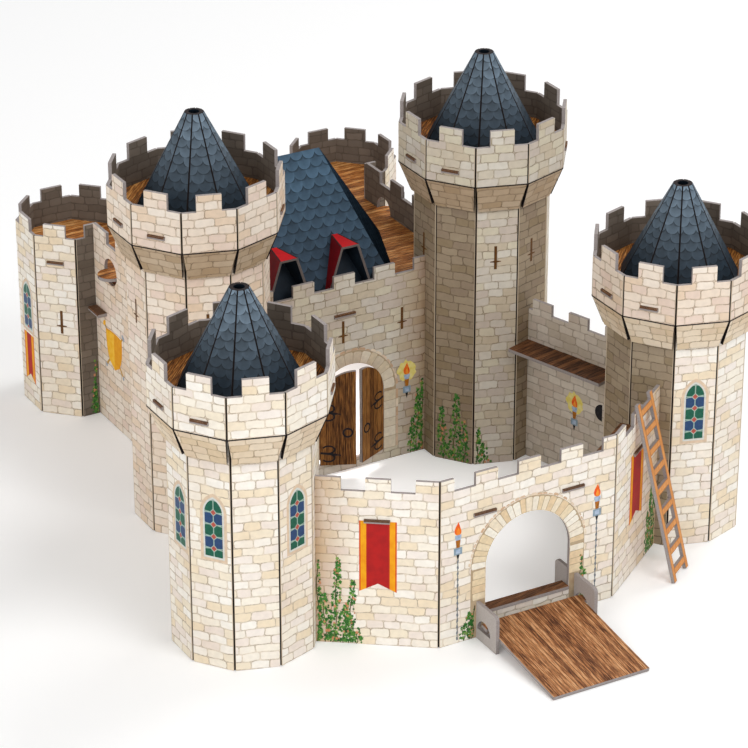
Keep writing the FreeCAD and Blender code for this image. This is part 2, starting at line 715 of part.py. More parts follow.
def curtain_wall():
    path = curtain_path()
    # rear to front on the left: outside is on the right, so the sheet is laid to negative depth
    wall = stretch(path, 0, curtain_length, 0, curtain_crenel_z, -board)
    top = curtain_crenel_z + curtain_merlon
    s = curtain_first_merlon
    merlons = []
    while s < curtain_length:
        far = min(s + curtain_merlon_width, curtain_length)
        merlons.append(stretch(path, s, far, curtain_crenel_z, top, -board))
        s += curtain_merlon_width + curtain_crenel_width
    return wall.fuse(merlons).cut(curtain_slot(fit, 1, board + 1)).removeSplitter()


def curtain_walkway():
    path = curtain_path()
    z0, z1 = walk_top_z - board, walk_top_z
    wide = stretch(path, 0, curtain_length, z0, z1, -(board + fit + walk_width))
    thin = stretch(path, 0, curtain_length, z0 - 1, z1 + 1, -(board + fit))
    rear_outline = regular(-rear_tower_x, rear_tower_y, tower_apothem + fit, tower_sides, tower_corner)
    front_outline = regular(-front_tower_x, 0, tower_apothem + fit, tower_sides, tower_corner)
    keep_out = [prism(outline, z0 - 1, z1 + 1) for outline in (rear_outline, front_outline)]
    deck = wide.cut([thin] + keep_out)
    return deck.fuse(curtain_slot(0, walk_tab_proud, board + 1)).removeSplitter()


def ladder():
    # Flat on its back in wall axes, then leant against the gate's side panel.
    length, width = ladder_length, ladder_width
    blank = box(0, width, 0, board, 0, length)
    pitch = ladder_gap + ladder_rung
    first = (length - ladder_windows * pitch - ladder_rung) / 2
    inner0, inner1 = ladder_rail, width - ladder_rail
    cuts = [box(inner0, inner1, -1, board + 1, -1, first),
            box(inner0, inner1, -1, board + 1, length - first, length + 1)]
    for i in range(ladder_windows):
        z = first + ladder_rung + i * pitch
        cuts.append(box(inner0, inner1, -1, board + 1, z, z + ladder_gap))
    rails = blank.cut(cuts)
    # the back face touches the top outer edge of the merlon that it leans on
    edge_z = gate_crenel_z + gate_merlon
    lean = math.atan2(ladder_foot_out - fit, edge_z)
    rails.translate(V(0, -board, 0))
    rails.rotate(V(0, 0, 0), V(1, 0, 0), -math.degrees(lean))
    rails.translate(V(0, -ladder_foot_out, 0))
    rails.translate(V(ladder_s, 0, 0))
    origin, angle = side_frame(1)
    return in_wall(rails, origin, angle)


parts = {}
for name, place in towers.items():
    parts[name + "_tower_sleeve"] = tower_sleeve(*place)
    parts[name + "_tower_crown"] = tower_crown(*place)
    parts[name + "_tower_deck"] = tower_deck(*place)
    parts[name + "_tower_cone"] = tower_cone(*place)
parts["keep_front_wall"] = keep_front_wall()
parts["keep_side_wall_left"] = rear_side_wall()
parts["keep_side_wall_right"] = mirror_x(parts["keep_side_wall_left"])
parts["keep_back_wall"] = keep_back_wall()
parts["keep_floor"] = keep_floor()
parts["gallery_floor"] = gallery_floor()
parts["keep_roof"] = keep_roof()
parts["dormer_left"] = dormer(dormer_x[0])
parts["dormer_right"] = dormer(dormer_x[1])
parts["gate_wall"] = gate_wall()
parts["gate_walkway"] = gate_walkway()
parts["threshold_board"] = threshold_board()
parts["bridge_plate_left"] = bridge_plate(-1)
parts["bridge_plate_right"] = bridge_plate(1)
parts["drawbridge"] = drawbridge()
parts["curtain_wall_left"] = curtain_wall()
parts["curtain_wall_right"] = mirror_x(parts["curtain_wall_left"])
parts["curtain_walkway_left"] = curtain_walkway()
parts["curtain_walkway_right"] = mirror_x(parts["curtain_walkway_left"])
parts["ladder"] = ladder()

# The origin is under the middle of the whole castle, bridge lowered.
back_y = turret_y + turret_apothem
centre_y = (bridge_far_y + back_y) / 2
os.makedirs("parts", exist_ok=True)
for name, shape in parts.items():
    shape.translate(V(0, -centre_y, 0))
    shape.exportStep("parts/" + name + ".step")
    bb = shape.BoundBox
    print(f"{name:28s} solids {len(shape.Solids)} valid {shape.isValid()} volume {shape.Volume:10.0f}"
          f" x {bb.XMin:7.1f} {bb.XMax:7.1f} y {bb.YMin:7.1f} {bb.YMax:7.1f} z {bb.ZMin:6.1f} {bb.ZMax:6.1f}")
print("centre_y", centre_y, "tilt", math.degrees(bridge_tilt))
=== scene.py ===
import math
import random
from functools import partial
import bmesh
import bpy
from mathutils import Matrix, Vector


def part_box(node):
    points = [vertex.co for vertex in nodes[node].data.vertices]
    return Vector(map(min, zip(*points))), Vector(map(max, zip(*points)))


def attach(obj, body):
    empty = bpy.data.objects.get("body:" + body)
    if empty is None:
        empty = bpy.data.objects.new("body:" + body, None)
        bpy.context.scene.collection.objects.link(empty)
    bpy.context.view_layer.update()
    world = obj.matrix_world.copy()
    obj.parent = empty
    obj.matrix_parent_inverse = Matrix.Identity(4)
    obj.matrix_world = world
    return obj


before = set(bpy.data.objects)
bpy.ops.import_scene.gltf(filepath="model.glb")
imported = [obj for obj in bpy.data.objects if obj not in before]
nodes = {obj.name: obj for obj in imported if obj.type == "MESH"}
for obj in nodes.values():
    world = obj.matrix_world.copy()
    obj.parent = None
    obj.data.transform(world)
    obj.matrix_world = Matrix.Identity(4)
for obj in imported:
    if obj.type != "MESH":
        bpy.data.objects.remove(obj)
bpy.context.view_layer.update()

millimetre = 0.001
zAxis = Vector((0, 0, 1))


# Places: the plan's zero is midway between the front towers, the gate faces -Y
def towerAxis(tower):
    low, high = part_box(tower + "_tower_sleeve")
    return (low + high) / 2


yardY = towerAxis("front_left").y
towerFlat = (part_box("front_left_tower_sleeve")[1].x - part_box("front_left_tower_sleeve")[0].x) / 2 / millimetre
crownFlat = (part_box("front_left_tower_crown")[1].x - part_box("front_left_tower_crown")[0].x) / 2 / millimetre
towerNames = ("front_left", "front_right", "rear_left", "rear_right")


def towerPlan(tower):
    centre = towerAxis(tower)
    return centre.x / millimetre, (centre.y - yardY) / millimetre


def heading(degrees):
    return Vector((math.cos(math.radians(degrees)), math.sin(math.radians(degrees)), 0))


def face(x, y, out, turn):
    # a wall's printed side: s runs along it from (x, y) in plan millimetres, out is where it looks
    origin = Vector((x * millimetre, yardY + y * millimetre, 0))
    return {"origin": origin, "along": heading(out + turn), "out": heading(out)}


def onFace(wall, s, z, proud):
    return wall["origin"] + (wall["along"] * s + wall.get("up", zAxis) * z + wall["out"] * proud) * millimetre


def towerFace(tower, k, flat=towerFlat):
    # face k of ten, counted to the left from the corner at -Y; s starts at its right-hand corner
    x, y = towerPlan(tower)
    radius = flat / math.cos(math.pi / 10)
    corner = math.radians(-90 - 36 * k)
    return face(x + radius * math.cos(corner), y + radius * math.sin(corner), -108 - 36 * k, -90)


# Colours and nodes
def ink(code):
    # sRGB hex to the linear colour that the shaders use
    values = [int(code[i:i + 2], 16) / 255 for i in (0, 2, 4)]
    linear = [v / 12.92 if v <= 0.04045 else ((v + 0.055) / 1.055) ** 2.4 for v in values]
    return (*linear, 1.0)


def addNode(tree, kind, inputs=(), out=0, **settings):
    # kind may carry an operation after a space; gives back one output, or the node where out is None
    kind, _, operation = kind.partition(" ")
    node = tree.nodes.new("ShaderNode" + kind)
    if operation:
        node.operation = operation
    for name, value in settings.items():
        setattr(node, name, value)
    for key, value in inputs.items() if isinstance(inputs, dict) else enumerate(inputs):
        if isinstance(value, bpy.types.NodeSocket):
            tree.links.new(value, node.inputs[key])
        else:
            node.inputs[key].default_value = value
    return node if out is None else node.outputs[out]


colourMix = {"out": 2, "data_type": "RGBA"}
darkening = {"out": 2, "data_type": "RGBA", "blend_type": "MULTIPLY"}


def startMaterial(name):
    material = bpy.data.materials.new(name)
    material.use_nodes = True
    material.node_tree.nodes.clear()
    return material, partial(addNode, material.node_tree)


def finishMaterial(material, add, place, colour, roughness, tooth=0.04):
    # a matt sheet; the paper's tooth is drawn at 0.9 mm so that it shows
    surface = {"Base Color": colour, "Roughness": roughness, "Specular IOR Level": 0.18}
    if tooth:
        grain = add("TexNoise", {"Vector": place, "Scale": 1 / (0.9 * millimetre), "Detail": 2.0})
        surface["Normal"] = add("Bump", {"Strength": tooth, "Distance": 0.0003, "Height": grain})
    add("OutputMaterial", {0: add("BsdfPrincipled", surface)}, None)
    return material


def uneven(add, where, scale, detail, spread, dimensions="3D"):
    # soft noise, brought from the first two values of spread to the last two
    noise = add("TexNoise", {"Vector": where, "Scale": scale, "Detail": detail}, noise_dimensions=dimensions)
    return add("MapRange", (noise, *spread))


def pickTone(add, value, tones, stepped=True):
    # spreads the printed tones over 0 to 1, each its own step or run together
    node = add("ValToRGB", {0: value}, None)
    elements = node.color_ramp.elements
    node.color_ramp.interpolation = "CONSTANT" if stepped else "LINEAR"
    while len(elements) < len(tones):
        elements.new(0.5)
    for i, (element, code) in enumerate(zip(elements, tones)):
        element.position = i / (len(tones) if stepped else len(tones) - 1)
        element.color = ink(code)
    return node.outputs[0]


def surfaceMillimetres(add):
    # u runs level along whatever flat face this is, v runs up it, both in millimetres
    place = add("TexCoord", out="Object")
    normal = add("NewGeometry", out="True Normal")
    level = add("VectorMath CROSS_PRODUCT", ((0, 0, 1), normal))
    steep = add("VectorMath LENGTH", (level,), "Value")
    level = add("VectorMath NORMALIZE", (level,))
    u = add("VectorMath DOT_PRODUCT", (place, level), "Value")
    u = add("Math MULTIPLY", (u, 1 / millimetre))
    height = add("SeparateXYZ", (place,), 2)
    v = add("Math DIVIDE", (height, steep))
    v = add("Math MULTIPLY", (v, 1 / millimetre))
    return place, u, v


# Stone print: matt offset print of coursed rubble on grey board
stonePrint = {"course": 7.3, "stone": 15.0, "spread": 0.6, "joint": 0.42, "mortar": 0.6, "wobble": 1.5,
              "roughness": 0.62}


def stoneMaterial(name, tones, mortarTone, jointTone, stain, stainTone, jointDepth=0.7, corners=()):
    # gives the eye hand-drawn pale stones in thin brown joints, with painted shade beside the given towers, in the
    # corners where the walls meet them
    material, add = startMaterial(name)
    place, u, v = surfaceMillimetres(add)
    flat = add("CombineXYZ", (u, v))
    sway = add("TexNoise", {"Vector": flat, "Scale": 1 / 16, "Detail": 1.5}, None, noise_dimensions="2D")
    parts = add("SeparateColor", (sway.outputs["Color"],), None).outputs
    bend = add("MapRange", (parts[0], 0.0, 1.0, -stonePrint["wobble"], stonePrint["wobble"]))
    lift = add("MapRange", (parts[1], 0.0, 1.0, -1.5, 1.5))
    u = add("Math ADD", (u, bend))
    v = add("Math ADD", (v, lift))
    row = add("Math DIVIDE", (v, stonePrint["course"]))
    course = add("Math FLOOR", (row,))
    inRow = add("Math SUBTRACT", (row, course))
    halfway = add("Math PINGPONG", (inRow, 0.5))
    level = add("Math MULTIPLY", (halfway, stonePrint["course"]))
    shift = add("Math MULTIPLY", (course, 7.31))
    along = add("Math MULTIPLY_ADD", (u, 1 / stonePrint["stone"], shift))
    spread = {"W": along, "Scale": 1.0, "Randomness": stonePrint["spread"]}
    cell = add("TexVoronoi", spread, "Color", voronoi_dimensions="1D")
    edge = add("TexVoronoi", spread, "Distance", voronoi_dimensions="1D", feature="DISTANCE_TO_EDGE")
    upright = add("Math MULTIPLY", (edge, stonePrint["stone"]))
    away = add("Math SMOOTH_MIN", (upright, level, 2.6))
    away = add("Math ADD", (away, 0.3))
    tone = add("SeparateColor", (cell,))
    colour = pickTone(add, tone, tones)
    mottled = uneven(add, flat, 1 / 5, 4.0, (0.3, 0.7, 0.95, 1.03), "2D")
    colour = add("Mix", {0: 1.0, 6: colour, 7: mottled}, **darkening)
    ragged = uneven(add, flat, 0.55, 2.0, (0.0, 1.0, -0.35, 0.35), "2D")
    away = add("Math ADD", (away, ragged))
    mortar = add("MapRange", (away, 0.45, 1.15, stonePrint["mortar"], 0.0))
    colour = add("Mix", {0: mortar, 6: colour, 7: ink(mortarTone)}, **colourMix)
    strong = uneven(add, flat, 1 / 9, 2.0, (0.34, 0.64, 0.12, jointDepth), "2D")
    offLine = add("Math ADD", (away, -stonePrint["joint"]))
    offLine = add("Math ABSOLUTE", (offLine,))
    line = add("MapRange", (offLine, 0.1, 0.36, 1.0, 0.0), interpolation_type="SMOOTHSTEP")
    line = add("Math MULTIPLY", (line, strong))
    colour = add("Mix", {0: line, 6: colour, 7: ink(jointTone)}, **colourMix)
    patch = uneven(add, flat, 1 / 70, 2.0, (0.42, 0.75, 0.0, stain), "2D")
    colour = add("Mix", {0: patch, 6: colour, 7: ink(stainTone)}, **darkening)
    level = add("VectorMath MULTIPLY", (place, (1, 1, 0)))
    # painted shade: the stone darkens towards each listed tower's axis, in the corner where the wall meets that
    # tower
    for tower in corners:
        axis = towerAxis(tower)
        reach = add("VectorMath DISTANCE", (level, (axis.x, axis.y, 0)), "Value")
        near = add("MapRange", (reach, 0.056, 0.092, 0.8, 0.0))
        near = add("Math MULTIPLY", (near, mottled))
        colour = add("Mix", {0: near, 6: colour, 7: ink("c4a88c")}, **darkening)
    return finishMaterial(material, add, place, colour, stonePrint["roughness"])


# Slate print: dark fish-scale tiles, matt print
slatePrint = {"tile": 11.6, "row": 8.6, "coneTile": 10.4, "coneRow": 7.0, "arc": 0.66, "roughness": 0.6}


def slateMaterial(name, low, high, zLow, zHigh, tile, rowRise):
    # gives the eye overlapping round-ended tiles, each with a painted highlight along its lower edge and a painted
    # shadow under the tile above, darker towards the eaves
    material, add = startMaterial(name)
    place, u, v = surfaceMillimetres(add)
    row = add("Math MULTIPLY", (v, 1 / rowRise))
    course = add("Math FLOOR", (row,))
    inRow = add("Math SUBTRACT", (row, course))
    tiles = []
    for back in (0.0, 1.0):
        level = add("Math SUBTRACT", (course, back))
        shift = add("Math MULTIPLY", (level, 0.5))
        along = add("Math MULTIPLY_ADD", (u, 1 / tile, shift))
        column = add("Math FLOOR", (along,))
        across = add("Math SUBTRACT", (along, column))
        across = add("Math MULTIPLY_ADD", (across, 2.0, -1.0))
        square = add("Math MULTIPLY", (across, across))
        inside = add("Math SUBTRACT", (1.0, square))
        root = add("Math POWER", (inside, 0.5))
        foot = add("MapRange", (root, 0.0, 1.0, slatePrint["arc"], 0.0))
        key = add("CombineXYZ", (column, level))
        value = add("TexWhiteNoise", {"Vector": key}, "Value", noise_dimensions="2D")
        up = add("Math ADD", (inRow, back))
        slip = add("MapRange", (value, 0.0, 1.0, -0.13, 0.0))
        up = add("Math ADD", (up, slip))
        up = add("Math SUBTRACT", (up, foot))
        tiles.append((up, value))
    (upTop, valueTop), (upBack, valueBack) = tiles
    onTop = add("Math GREATER_THAN", (upTop, 0.0))
    up = add("Mix", {0: onTop, 2: upBack, 3: upTop})
    value = add("Mix", {0: onTop, 2: valueBack, 3: valueTop})
    # painted shadow on each tile just below the lower edge of the tile above
    below = add("Math MULTIPLY", (upTop, -1.0))
    shadowUnderUpperTile = add("MapRange", (below, 0.0, 0.34, 0.42, 1.0))
    shadow = add("Mix", {0: onTop, 2: shadowUnderUpperTile, 3: 1.0})
    # painted highlight: each tile lighter at its lower edge, darker towards its top
    glow = add("MapRange", (up, 0.0, 1.25, 1.38, 0.66))
    own = add("MapRange", (value, 0.0, 1.0, 0.8, 1.22))
    shade = add("Math MULTIPLY", (shadow, glow))
    shade = add("Math MULTIPLY", (shade, own))
    height = add("SeparateXYZ", (place,), 2)
    climb = add("MapRange", (height, zLow, zHigh, 0.0, 1.0))
    colour = pickTone(add, climb, (low, high), False)
    grain = uneven(add, place, 1 / (3.5 * millimetre), 4.0, (0.3, 0.7, 0.9, 1.1))
    shade = add("Math MULTIPLY", (shade, grain))
    colour = add("Mix", {0: 1.0, 6: colour, 7: shade}, **darkening)
    return finishMaterial(material, add, place, colour, slatePrint["roughness"])


# Wood print: planks with streaky grain, matt print
woodPrint = {"plank": 6.0, "grainWide": 0.7, "grainLong": 14.0, "roughness": 0.58}


def woodMaterial(name, tones, turn, plank=woodPrint["plank"], upright=False, gap=0.5):
    # gives the eye narrow planks with dark gaps and streaks; turn is the planks' heading in degrees
    material, add = startMaterial(name)
    place = add("TexCoord", out="Object")
    if upright:
        along, across = Vector((0, 0, 1)), heading(turn)
    else:
        along, across = heading(turn), heading(turn + 90)
    length = add("VectorMath DOT_PRODUCT", (place, along / millimetre), "Value")
    width = add("VectorMath DOT_PRODUCT", (place, across / millimetre), "Value")
    board = add("Math MULTIPLY", (width, 1 / plank))
    number = add("Math FLOOR", (board,))
    inBoard = add("Math SUBTRACT", (board, number))
    own = add("TexWhiteNoise", {"W": number}, "Value", noise_dimensions="1D")
    slide = add("Math MULTIPLY_ADD", (own, 900.0, length))
    slide = add("Math MULTIPLY", (slide, 1 / woodPrint["grainLong"]))
    fine = add("Math MULTIPLY", (width, 1 / woodPrint["grainWide"]))
    streak = add("CombineXYZ", (fine, slide))
    grain = add("TexNoise", {"Vector": streak, "Scale": 1.0, "Detail": 5.0, "Roughness": 0.62},
                noise_dimensions="2D")
    mixed = add("Math MULTIPLY_ADD", (own, 0.2, grain))
    mixed = add("MapRange", (mixed, 0.4, 0.78, 0.0, 1.0))
    colour = pickTone(add, mixed, tones, False)
    side = add("Math PINGPONG", (inBoard, 0.5))
    side = add("Math MULTIPLY", (side, plank))
    dark = add("MapRange", (side, gap * 0.3, gap, 0.42, 1.0))
    colour = add("Mix", {0: 1.0, 6: colour, 7: dark}, **darkening)
    return finishMaterial(material, add, place, colour, woodPrint["roughness"])


# Bare board and plain inks
def boardMaterial(name, tone, second, roughness=0.8):
    # gives the eye the pressed grey fibre of a die-cut edge
    material, add = startMaterial(name)
    place = add("TexCoord", out="Object")
    fibre = add("Mapping", {"Vector": place, "Scale": (1, 1, 3)})
    noise = uneven(add, fibre, 1 / (1.6 * millimetre), 5.0, (0.3, 0.7, 0.0, 1.0))
    return finishMaterial(material, add, place, add("Mix", {0: noise, 6: ink(tone), 7: ink(second)}, **colourMix),
                          roughness, 0.12)


def inkMaterial(name, tone, second, grain=7.0, roughness=0.55):
    # gives the eye one printed colour with the soft unevenness of ink on paper
    material, add = startMaterial(name)
    place = add("TexCoord", out="Object")
    noise = uneven(add, place, 1 / (grain * millimetre), 3.0, (0.35, 0.65, 0.0, 1.0))
    return finishMaterial(material, add, place, add("Mix", {0: noise, 6: ink(tone), 7: ink(second)}, **colourMix),
                          roughness)


def tintMaterial(name, tones, roughness=0.6, grain=3.0):
    # gives the eye many small printed shapes, each with its own tone from the mesh's tint attribute
    material, add = startMaterial(name)
    place = add("TexCoord", out="Object")
    tint = add("Attribute", (), "Fac", attribute_name="tint")
    colour = pickTone(add, tint, tones)
    noise = uneven(add, place, 1 / (grain * millimetre), 3.0, (0.3, 0.7, 0.9, 1.07))
    return finishMaterial(material, add, place, add("Mix", {0: 1.0, 6: colour, 7: noise}, **darkening), roughness)


def glassMaterial():
    # printed leaded window: red lozenges up the middle between blue and green lobes, pale leads
    material, add = startMaterial("leadedGlassPrint")
    uv = add("UVMap")
    x, y, _ = add("SeparateXYZ", (uv,), None).outputs
    aside = add("Math ABSOLUTE", (x,))
    step = add("Math MULTIPLY", (y, 1 / leadedWindow["lobe"]))
    number = add("Math ROUND", (step,))
    off = add("Math SUBTRACT", (step, number))
    off = add("Math ABSOLUTE", (off,))
    off = add("Math MULTIPLY", (off, leadedWindow["lobe"]))
    lower = add("Math FLOOR", (step,))
    odd = add("Math FLOORED_MODULO", (lower, 2.0))
    lobes = add("Mix", {0: odd, 6: ink("1f5e4a"), 7: ink("2c4870")}, **colourMix)
    tall = add("Math MULTIPLY", (off, 1 / 2.9))
    lozenge = add("Math MULTIPLY_ADD", (aside, 1 / 2.7, tall))
    crest = add("Math GREATER_THAN", (y, leadedWindow["lobe"] / 2))
    lozenge = add("Math MULTIPLY_ADD", (crest, 9.0, lozenge))
    isRed = add("Math LESS_THAN", (lozenge, 1.0))
    colour = add("Mix", {0: isRed, 6: lobes, 7: ink("b4554a")}, **colourMix)
    nearEdge = add("Math ADD", (lozenge, -1.0))
    nearEdge = add("Math ABSOLUTE", (nearEdge,))
    nearEdge = add("Math MULTIPLY", (nearEdge, 2.2))
    sweep = add("Math MULTIPLY", (aside, aside))
    sweep = add("Math MULTIPLY_ADD", (sweep, -0.012, off))
    sweep = add("Math ABSOLUTE", (sweep,))
    lead = add("Math MINIMUM", (nearEdge, sweep))
    lead = add("Math MINIMUM", (lead, aside))
    inside = add("MapRange", (lozenge, 0.8, 0.85, 1.0, 0.0))
    lead = add("Math ADD", (lead, inside))
    line = add("MapRange", (lead, 0.22, 0.6, 0.85, 0.0))
    colour = add("Mix", {0: line, 6: colour, 7: ink("a9c2b4")}, **colourMix)
    noise = uneven(add, uv, 0.4, 3.0, (0.3, 0.7, 0.82, 1.15))
    return finishMaterial(material, add, None, add("Mix", {0: 1.0, 6: colour, 7: noise}, **darkening), 0.35, 0)


# Flat printed shapes, each a closed slab a tenth of a millimetre thick on its wall
def slabMesh(name, wall, shapes, materials):
    # shapes: outline in (s, z) millimetres, lower and upper face, material number, tint;
    # a list of walls has one for each shape
    walls = wall if isinstance(wall, list) else [wall] * len(shapes)
    grid = bmesh.new()
    uvLayer = grid.loops.layers.uv.new("print")
    tintLayer = grid.faces.layers.float.new("tint")
    for shape, wall in zip(shapes, walls):
        outline, low, high, number, tint = shape[:5]
        centre = shape[5] if len(shape) > 5 else (0.0, 0.0)
        rings = [[grid.verts.new(onFace(wall, s, z, proud)) for s, z in outline] for proud in (low, high)]
        made = [grid.faces.new(rings[1]), grid.faces.new(rings[0][::-1])]
        count = len(outline)
        for i in range(count):
            j = (i + 1) % count
            made.append(grid.faces.new((rings[0][i], rings[0][j], rings[1][j], rings[1][i])))
        for item in made:
            item.material_index = number
            item[tintLayer] = tint
            for loop, (s, z) in zip(item.loops, outline if item is made[0] else ()):
                loop[uvLayer].uv = (s - centre[0], z - centre[1])
    bmesh.ops.recalc_face_normals(grid, faces=grid.faces)
    mesh = bpy.data.meshes.new(name)
    grid.to_mesh(mesh)
    grid.free()
    piece = bpy.data.objects.new(name, mesh)
    bpy.context.scene.collection.objects.link(piece)
    for material in materials:
        mesh.materials.append(material)
    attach(piece, "castle")
    return piece


def rectangle(s0, s1, z0, z1):
    return [(s0, z0), (s1, z0), (s1, z1), (s0, z1)]


def curve(s, z, radius, start, end, count):
    angles = [math.radians(start + (end - start) * i / count) for i in range(count + 1)]
    return [(s + radius * math.cos(a), z + radius * math.sin(a)) for a in angles]


def pointedArch(s, half, z0, spring, top, count=7):
    # a lancet: each side is an arc centred on the springing line
    rise = top - spring
    radius = (half * half + rise * rise) / (2 * half)
    sweep = math.degrees(math.asin(min(1.0, rise / radius)))
    right = curve(s + half - radius, spring, radius, 0, sweep, count)
    left = [(2 * s - a, b) for a, b in right[-2::-1]]
    return [(s - half, z0), (s + half, z0)] + right + left


def blob(s, z, width, height, count=10, lean=0.0):
    points = []
    for i in range(count):
        a = 2 * math.pi * i / count
        x, y = width / 2 * math.cos(a), height / 2 * math.sin(a)
        points.append((s + x + lean * y, z + y))
    return points


def tube2d(points, width):
    # outline of a line of that width through the points
    left, right = [], []
    for i, point in enumerate(points):
        a, b = points[max(i - 1, 0)], points[min(i + 1, len(points) - 1)]
        dx, dz = b[0] - a[0], b[1] - a[1]
        size = math.hypot(dx, dz) or 1.0
        nx, nz = -dz / size * width / 2, dx / size * width / 2
        left.append((point[0] + nx, point[1] + nz))
        right.append((point[0] - nx, point[1] - nz))
    return left + right[::-1]


print("inks and board finishes")
# the side, dim and shaded-side tones are darker copies of the stone print, for faces that get less light: painted
# shade
outerTones = ("f4ecdf", "efdfc4", "f8f3ea", "efe3d8", "f6eedf", "f1e5cf", "f3eae1", "f7f1e7")
sideShadeTones = ("ecdccb", "e6d0b8", "f0e4d6", "e7d3c4", "eddfcf")
dimTones = ("d2cabe", "cdc0aa", "dad4c8", "cdc1b5", "d6ceb9", "d0c6b4")
shadeTones = ("9d8d77", "948369", "a5957e", "978672", "a0907a")
tanTones = ("e2d0b6", "dac5a6", "e6d6bf", "dcc8ae")
stone = stoneMaterial("stonePrintOutside", outerTones, "e3d3bb", "8d7963", 0.3, "e8d9c8")
# the gate's print carries painted shade in the corners by the front towers
stoneGate = stoneMaterial("stonePrintGate", outerTones, "e3d3bb", "8d7963", 0.3, "e8d9c8", 0.7,
                          ("front_left", "front_right"))
stoneSideShade = stoneMaterial("stonePrintSideShade", sideShadeTones, "d3bda3", "856f59", 0.3, "e6d6c4")
stoneDim = stoneMaterial("stonePrintDim", dimTones, "bfb19b", "75664f", 0.3, "e0d2c2")
# the keep front takes the dim copy, painted shade, with more painted shade in the corners by the rear towers
stoneKeep = stoneMaterial("stonePrintKeep", dimTones, "bfb19b", "75664f", 0.3, "e0d2c2", 0.7,
                          ("rear_left", "rear_right"))
stoneShade = stoneMaterial("stonePrintShadedSide", shadeTones, "857560", "5a4b3c", 0.3, "e0d2c2")
stoneTan = stoneMaterial("stonePrintUnderCrown", tanTones, "cbb596", "7f6a54", 0.3, "e2d0b8")
# the rear crowns' tan is a darker copy of the crowns' tan: painted shade
stoneTanDim = stoneMaterial("stonePrintUnderRearCrownShade", ("bfa98e", "b49c7e", "c4b097", "b8a287"), "a58f74",
                            "6b5945",
                            0.3, "e2d0b8")
stoneInside = stoneMaterial("stonePrintInside", ("746a60", "6a6056", "7b7065", "6e645a"), "5f564d", "443c36", 0.4,
                            "c4bab0", 0.5)
stoneCourt = stoneMaterial("stonePrintCourtyard", ("cfc5b8", "c4b9a9", "d6cdc0", "c9bcae"), "b3a797", "7f7468", 0.3,
                           "d9cdbf", 0.6)
cutEdge = boardMaterial("greyBoardCutEdge", "8f8785", "a39b98")
darkEdge = boardMaterial("greyBoardDarkEdge", "5f5754", "6c6360")
boardFace = boardMaterial("greyBoardFace", "aaa29e", "b9b2ae")
foldGroove = boardMaterial("foldGrooveShadow", "1f1919", "2a2323")


def foldMaterial():
    # gives the eye a thin near-black scored line, painted shade in the crease, with the print's pale colour on its
    # lips
    material, add = startMaterial("foldLine")
    place = add("TexCoord", out="Object")
    reach = add("Attribute", (), "Fac", attribute_name="toFold")
    lip = add("MapRange", (reach, 0.62, 0.7, 0.0, 1.0))
    noise = add("TexNoise", {"Vector": place, "Scale": 1 / (2.5 * millimetre), "Detail": 3.0})
    line = add("Mix", {0: noise, 6: ink("1f1919"), 7: ink("2c2424")}, **colourMix)
    edge = add("Mix", {0: noise, 6: ink("d9c9b2"), 7: ink("cdbba2")}, **colourMix)
    return finishMaterial(material, add, place, add("Mix", {0: lip, 6: line, 7: edge}, **colourMix), 0.7)


foldLine = foldMaterial()
deckWood = woodMaterial("plankPrintDeck", ("2f1b0d", "7f4a20", "b57334", "dba05c"), 47, 4.6)
floorWood = woodMaterial("plankPrintFloor", ("40240f", "925322", "c77f3d", "ecb878"), 0, 4.6)
walkWood = woodMaterial("plankPrintWalk", ("281a10", "4f3220", "734a2f", "8f6340"), 12, 5.0)
bridgeWood = woodMaterial("plankPrintBridge", ("402415", "7d4b2b", "b47a4c", "d3a274"), 90, 3.3, False, 0.5)
doorWood = woodMaterial("plankPrintDoor", ("3c2412", "6f4622", "93602f", "ad7a42"), 0, 5.0, True)
redInk = inkMaterial("redPrintDormer", "c8161a", "b8141a")
# the dormer cheeks take a darker red than the lids: painted shade
redShade = inkMaterial("redPrintCheekShade", "840d14", "730b12")
# navy for the inner faces of cones, roof and dormers; in the dormers, and on the sheet laid inside each of them, it
# is painted shade
navyInkAndShade = inkMaterial("navyPrintInsideAndShade", "1b2733", "141d27")
roofSlate = slateMaterial("slatePrintRoof", "2a3947", "435c71", 0.17, 0.27, slatePrint["tile"], slatePrint["row"])
hipSlateShade = slateMaterial("slatePrintRoofEndShade", "121a21", "212e3a", 0.17, 0.27, slatePrint["tile"], slatePrint["row"])
# the roof's end is a darker copy of the slate print, painted shade, and keeps that dark colour at grazing light
hipSlateShade.node_tree.nodes["Principled BSDF"].inputs["Specular IOR Level"].default_value = 0.0


# Print on the board parts: each polygon takes the finish of the side of the board that it is on
def facetOfTower(tower):
    axis = towerAxis(tower)

    def outward(centre):
        away = math.degrees(math.atan2(centre.y - axis.y, centre.x - axis.x))
        k = round((-away - 108) / 36)
        out = heading(-108 - 36 * k)
        offset = math.radians(away + 90) % math.radians(36)
        offset = min(offset, math.radians(36) - offset)
        reach = math.hypot(centre.x - axis.x, centre.y - axis.y)
        return out, reach * math.sin(offset) / millimetre
    return outward


gatePlan = {"front": -97.8, "half": 82.0, "fold": 36.0}
keepPlan = {"front": 202.9, "side": 139.3, "turretX": 137.3, "turretY": 456.2, "turretFlat": 47.5}
turretReach = keepPlan["turretFlat"] * math.tan(math.radians(22.5))
curtainPlan = {"inner": 3.0, "torch": (54.0, 77.5), "recess": (84.5, 70.0,
                                                               8.0)}  # the court's faces join these below
farFromFold = 99.0


def facetOfGate(centre):
    x, y = centre.x / millimetre, (centre.y - yardY) / millimetre
    half = math.radians(gatePlan["fold"] / 2)
    toFold = abs((abs(x) - gatePlan["half"]) * math.cos(half) + (y - gatePlan["front"]) * math.sin(half))
    if abs(x) < gatePlan["half"]:
        return heading(-90), toFold
    return heading(-90 + math.copysign(gatePlan["fold"], x)), toFold


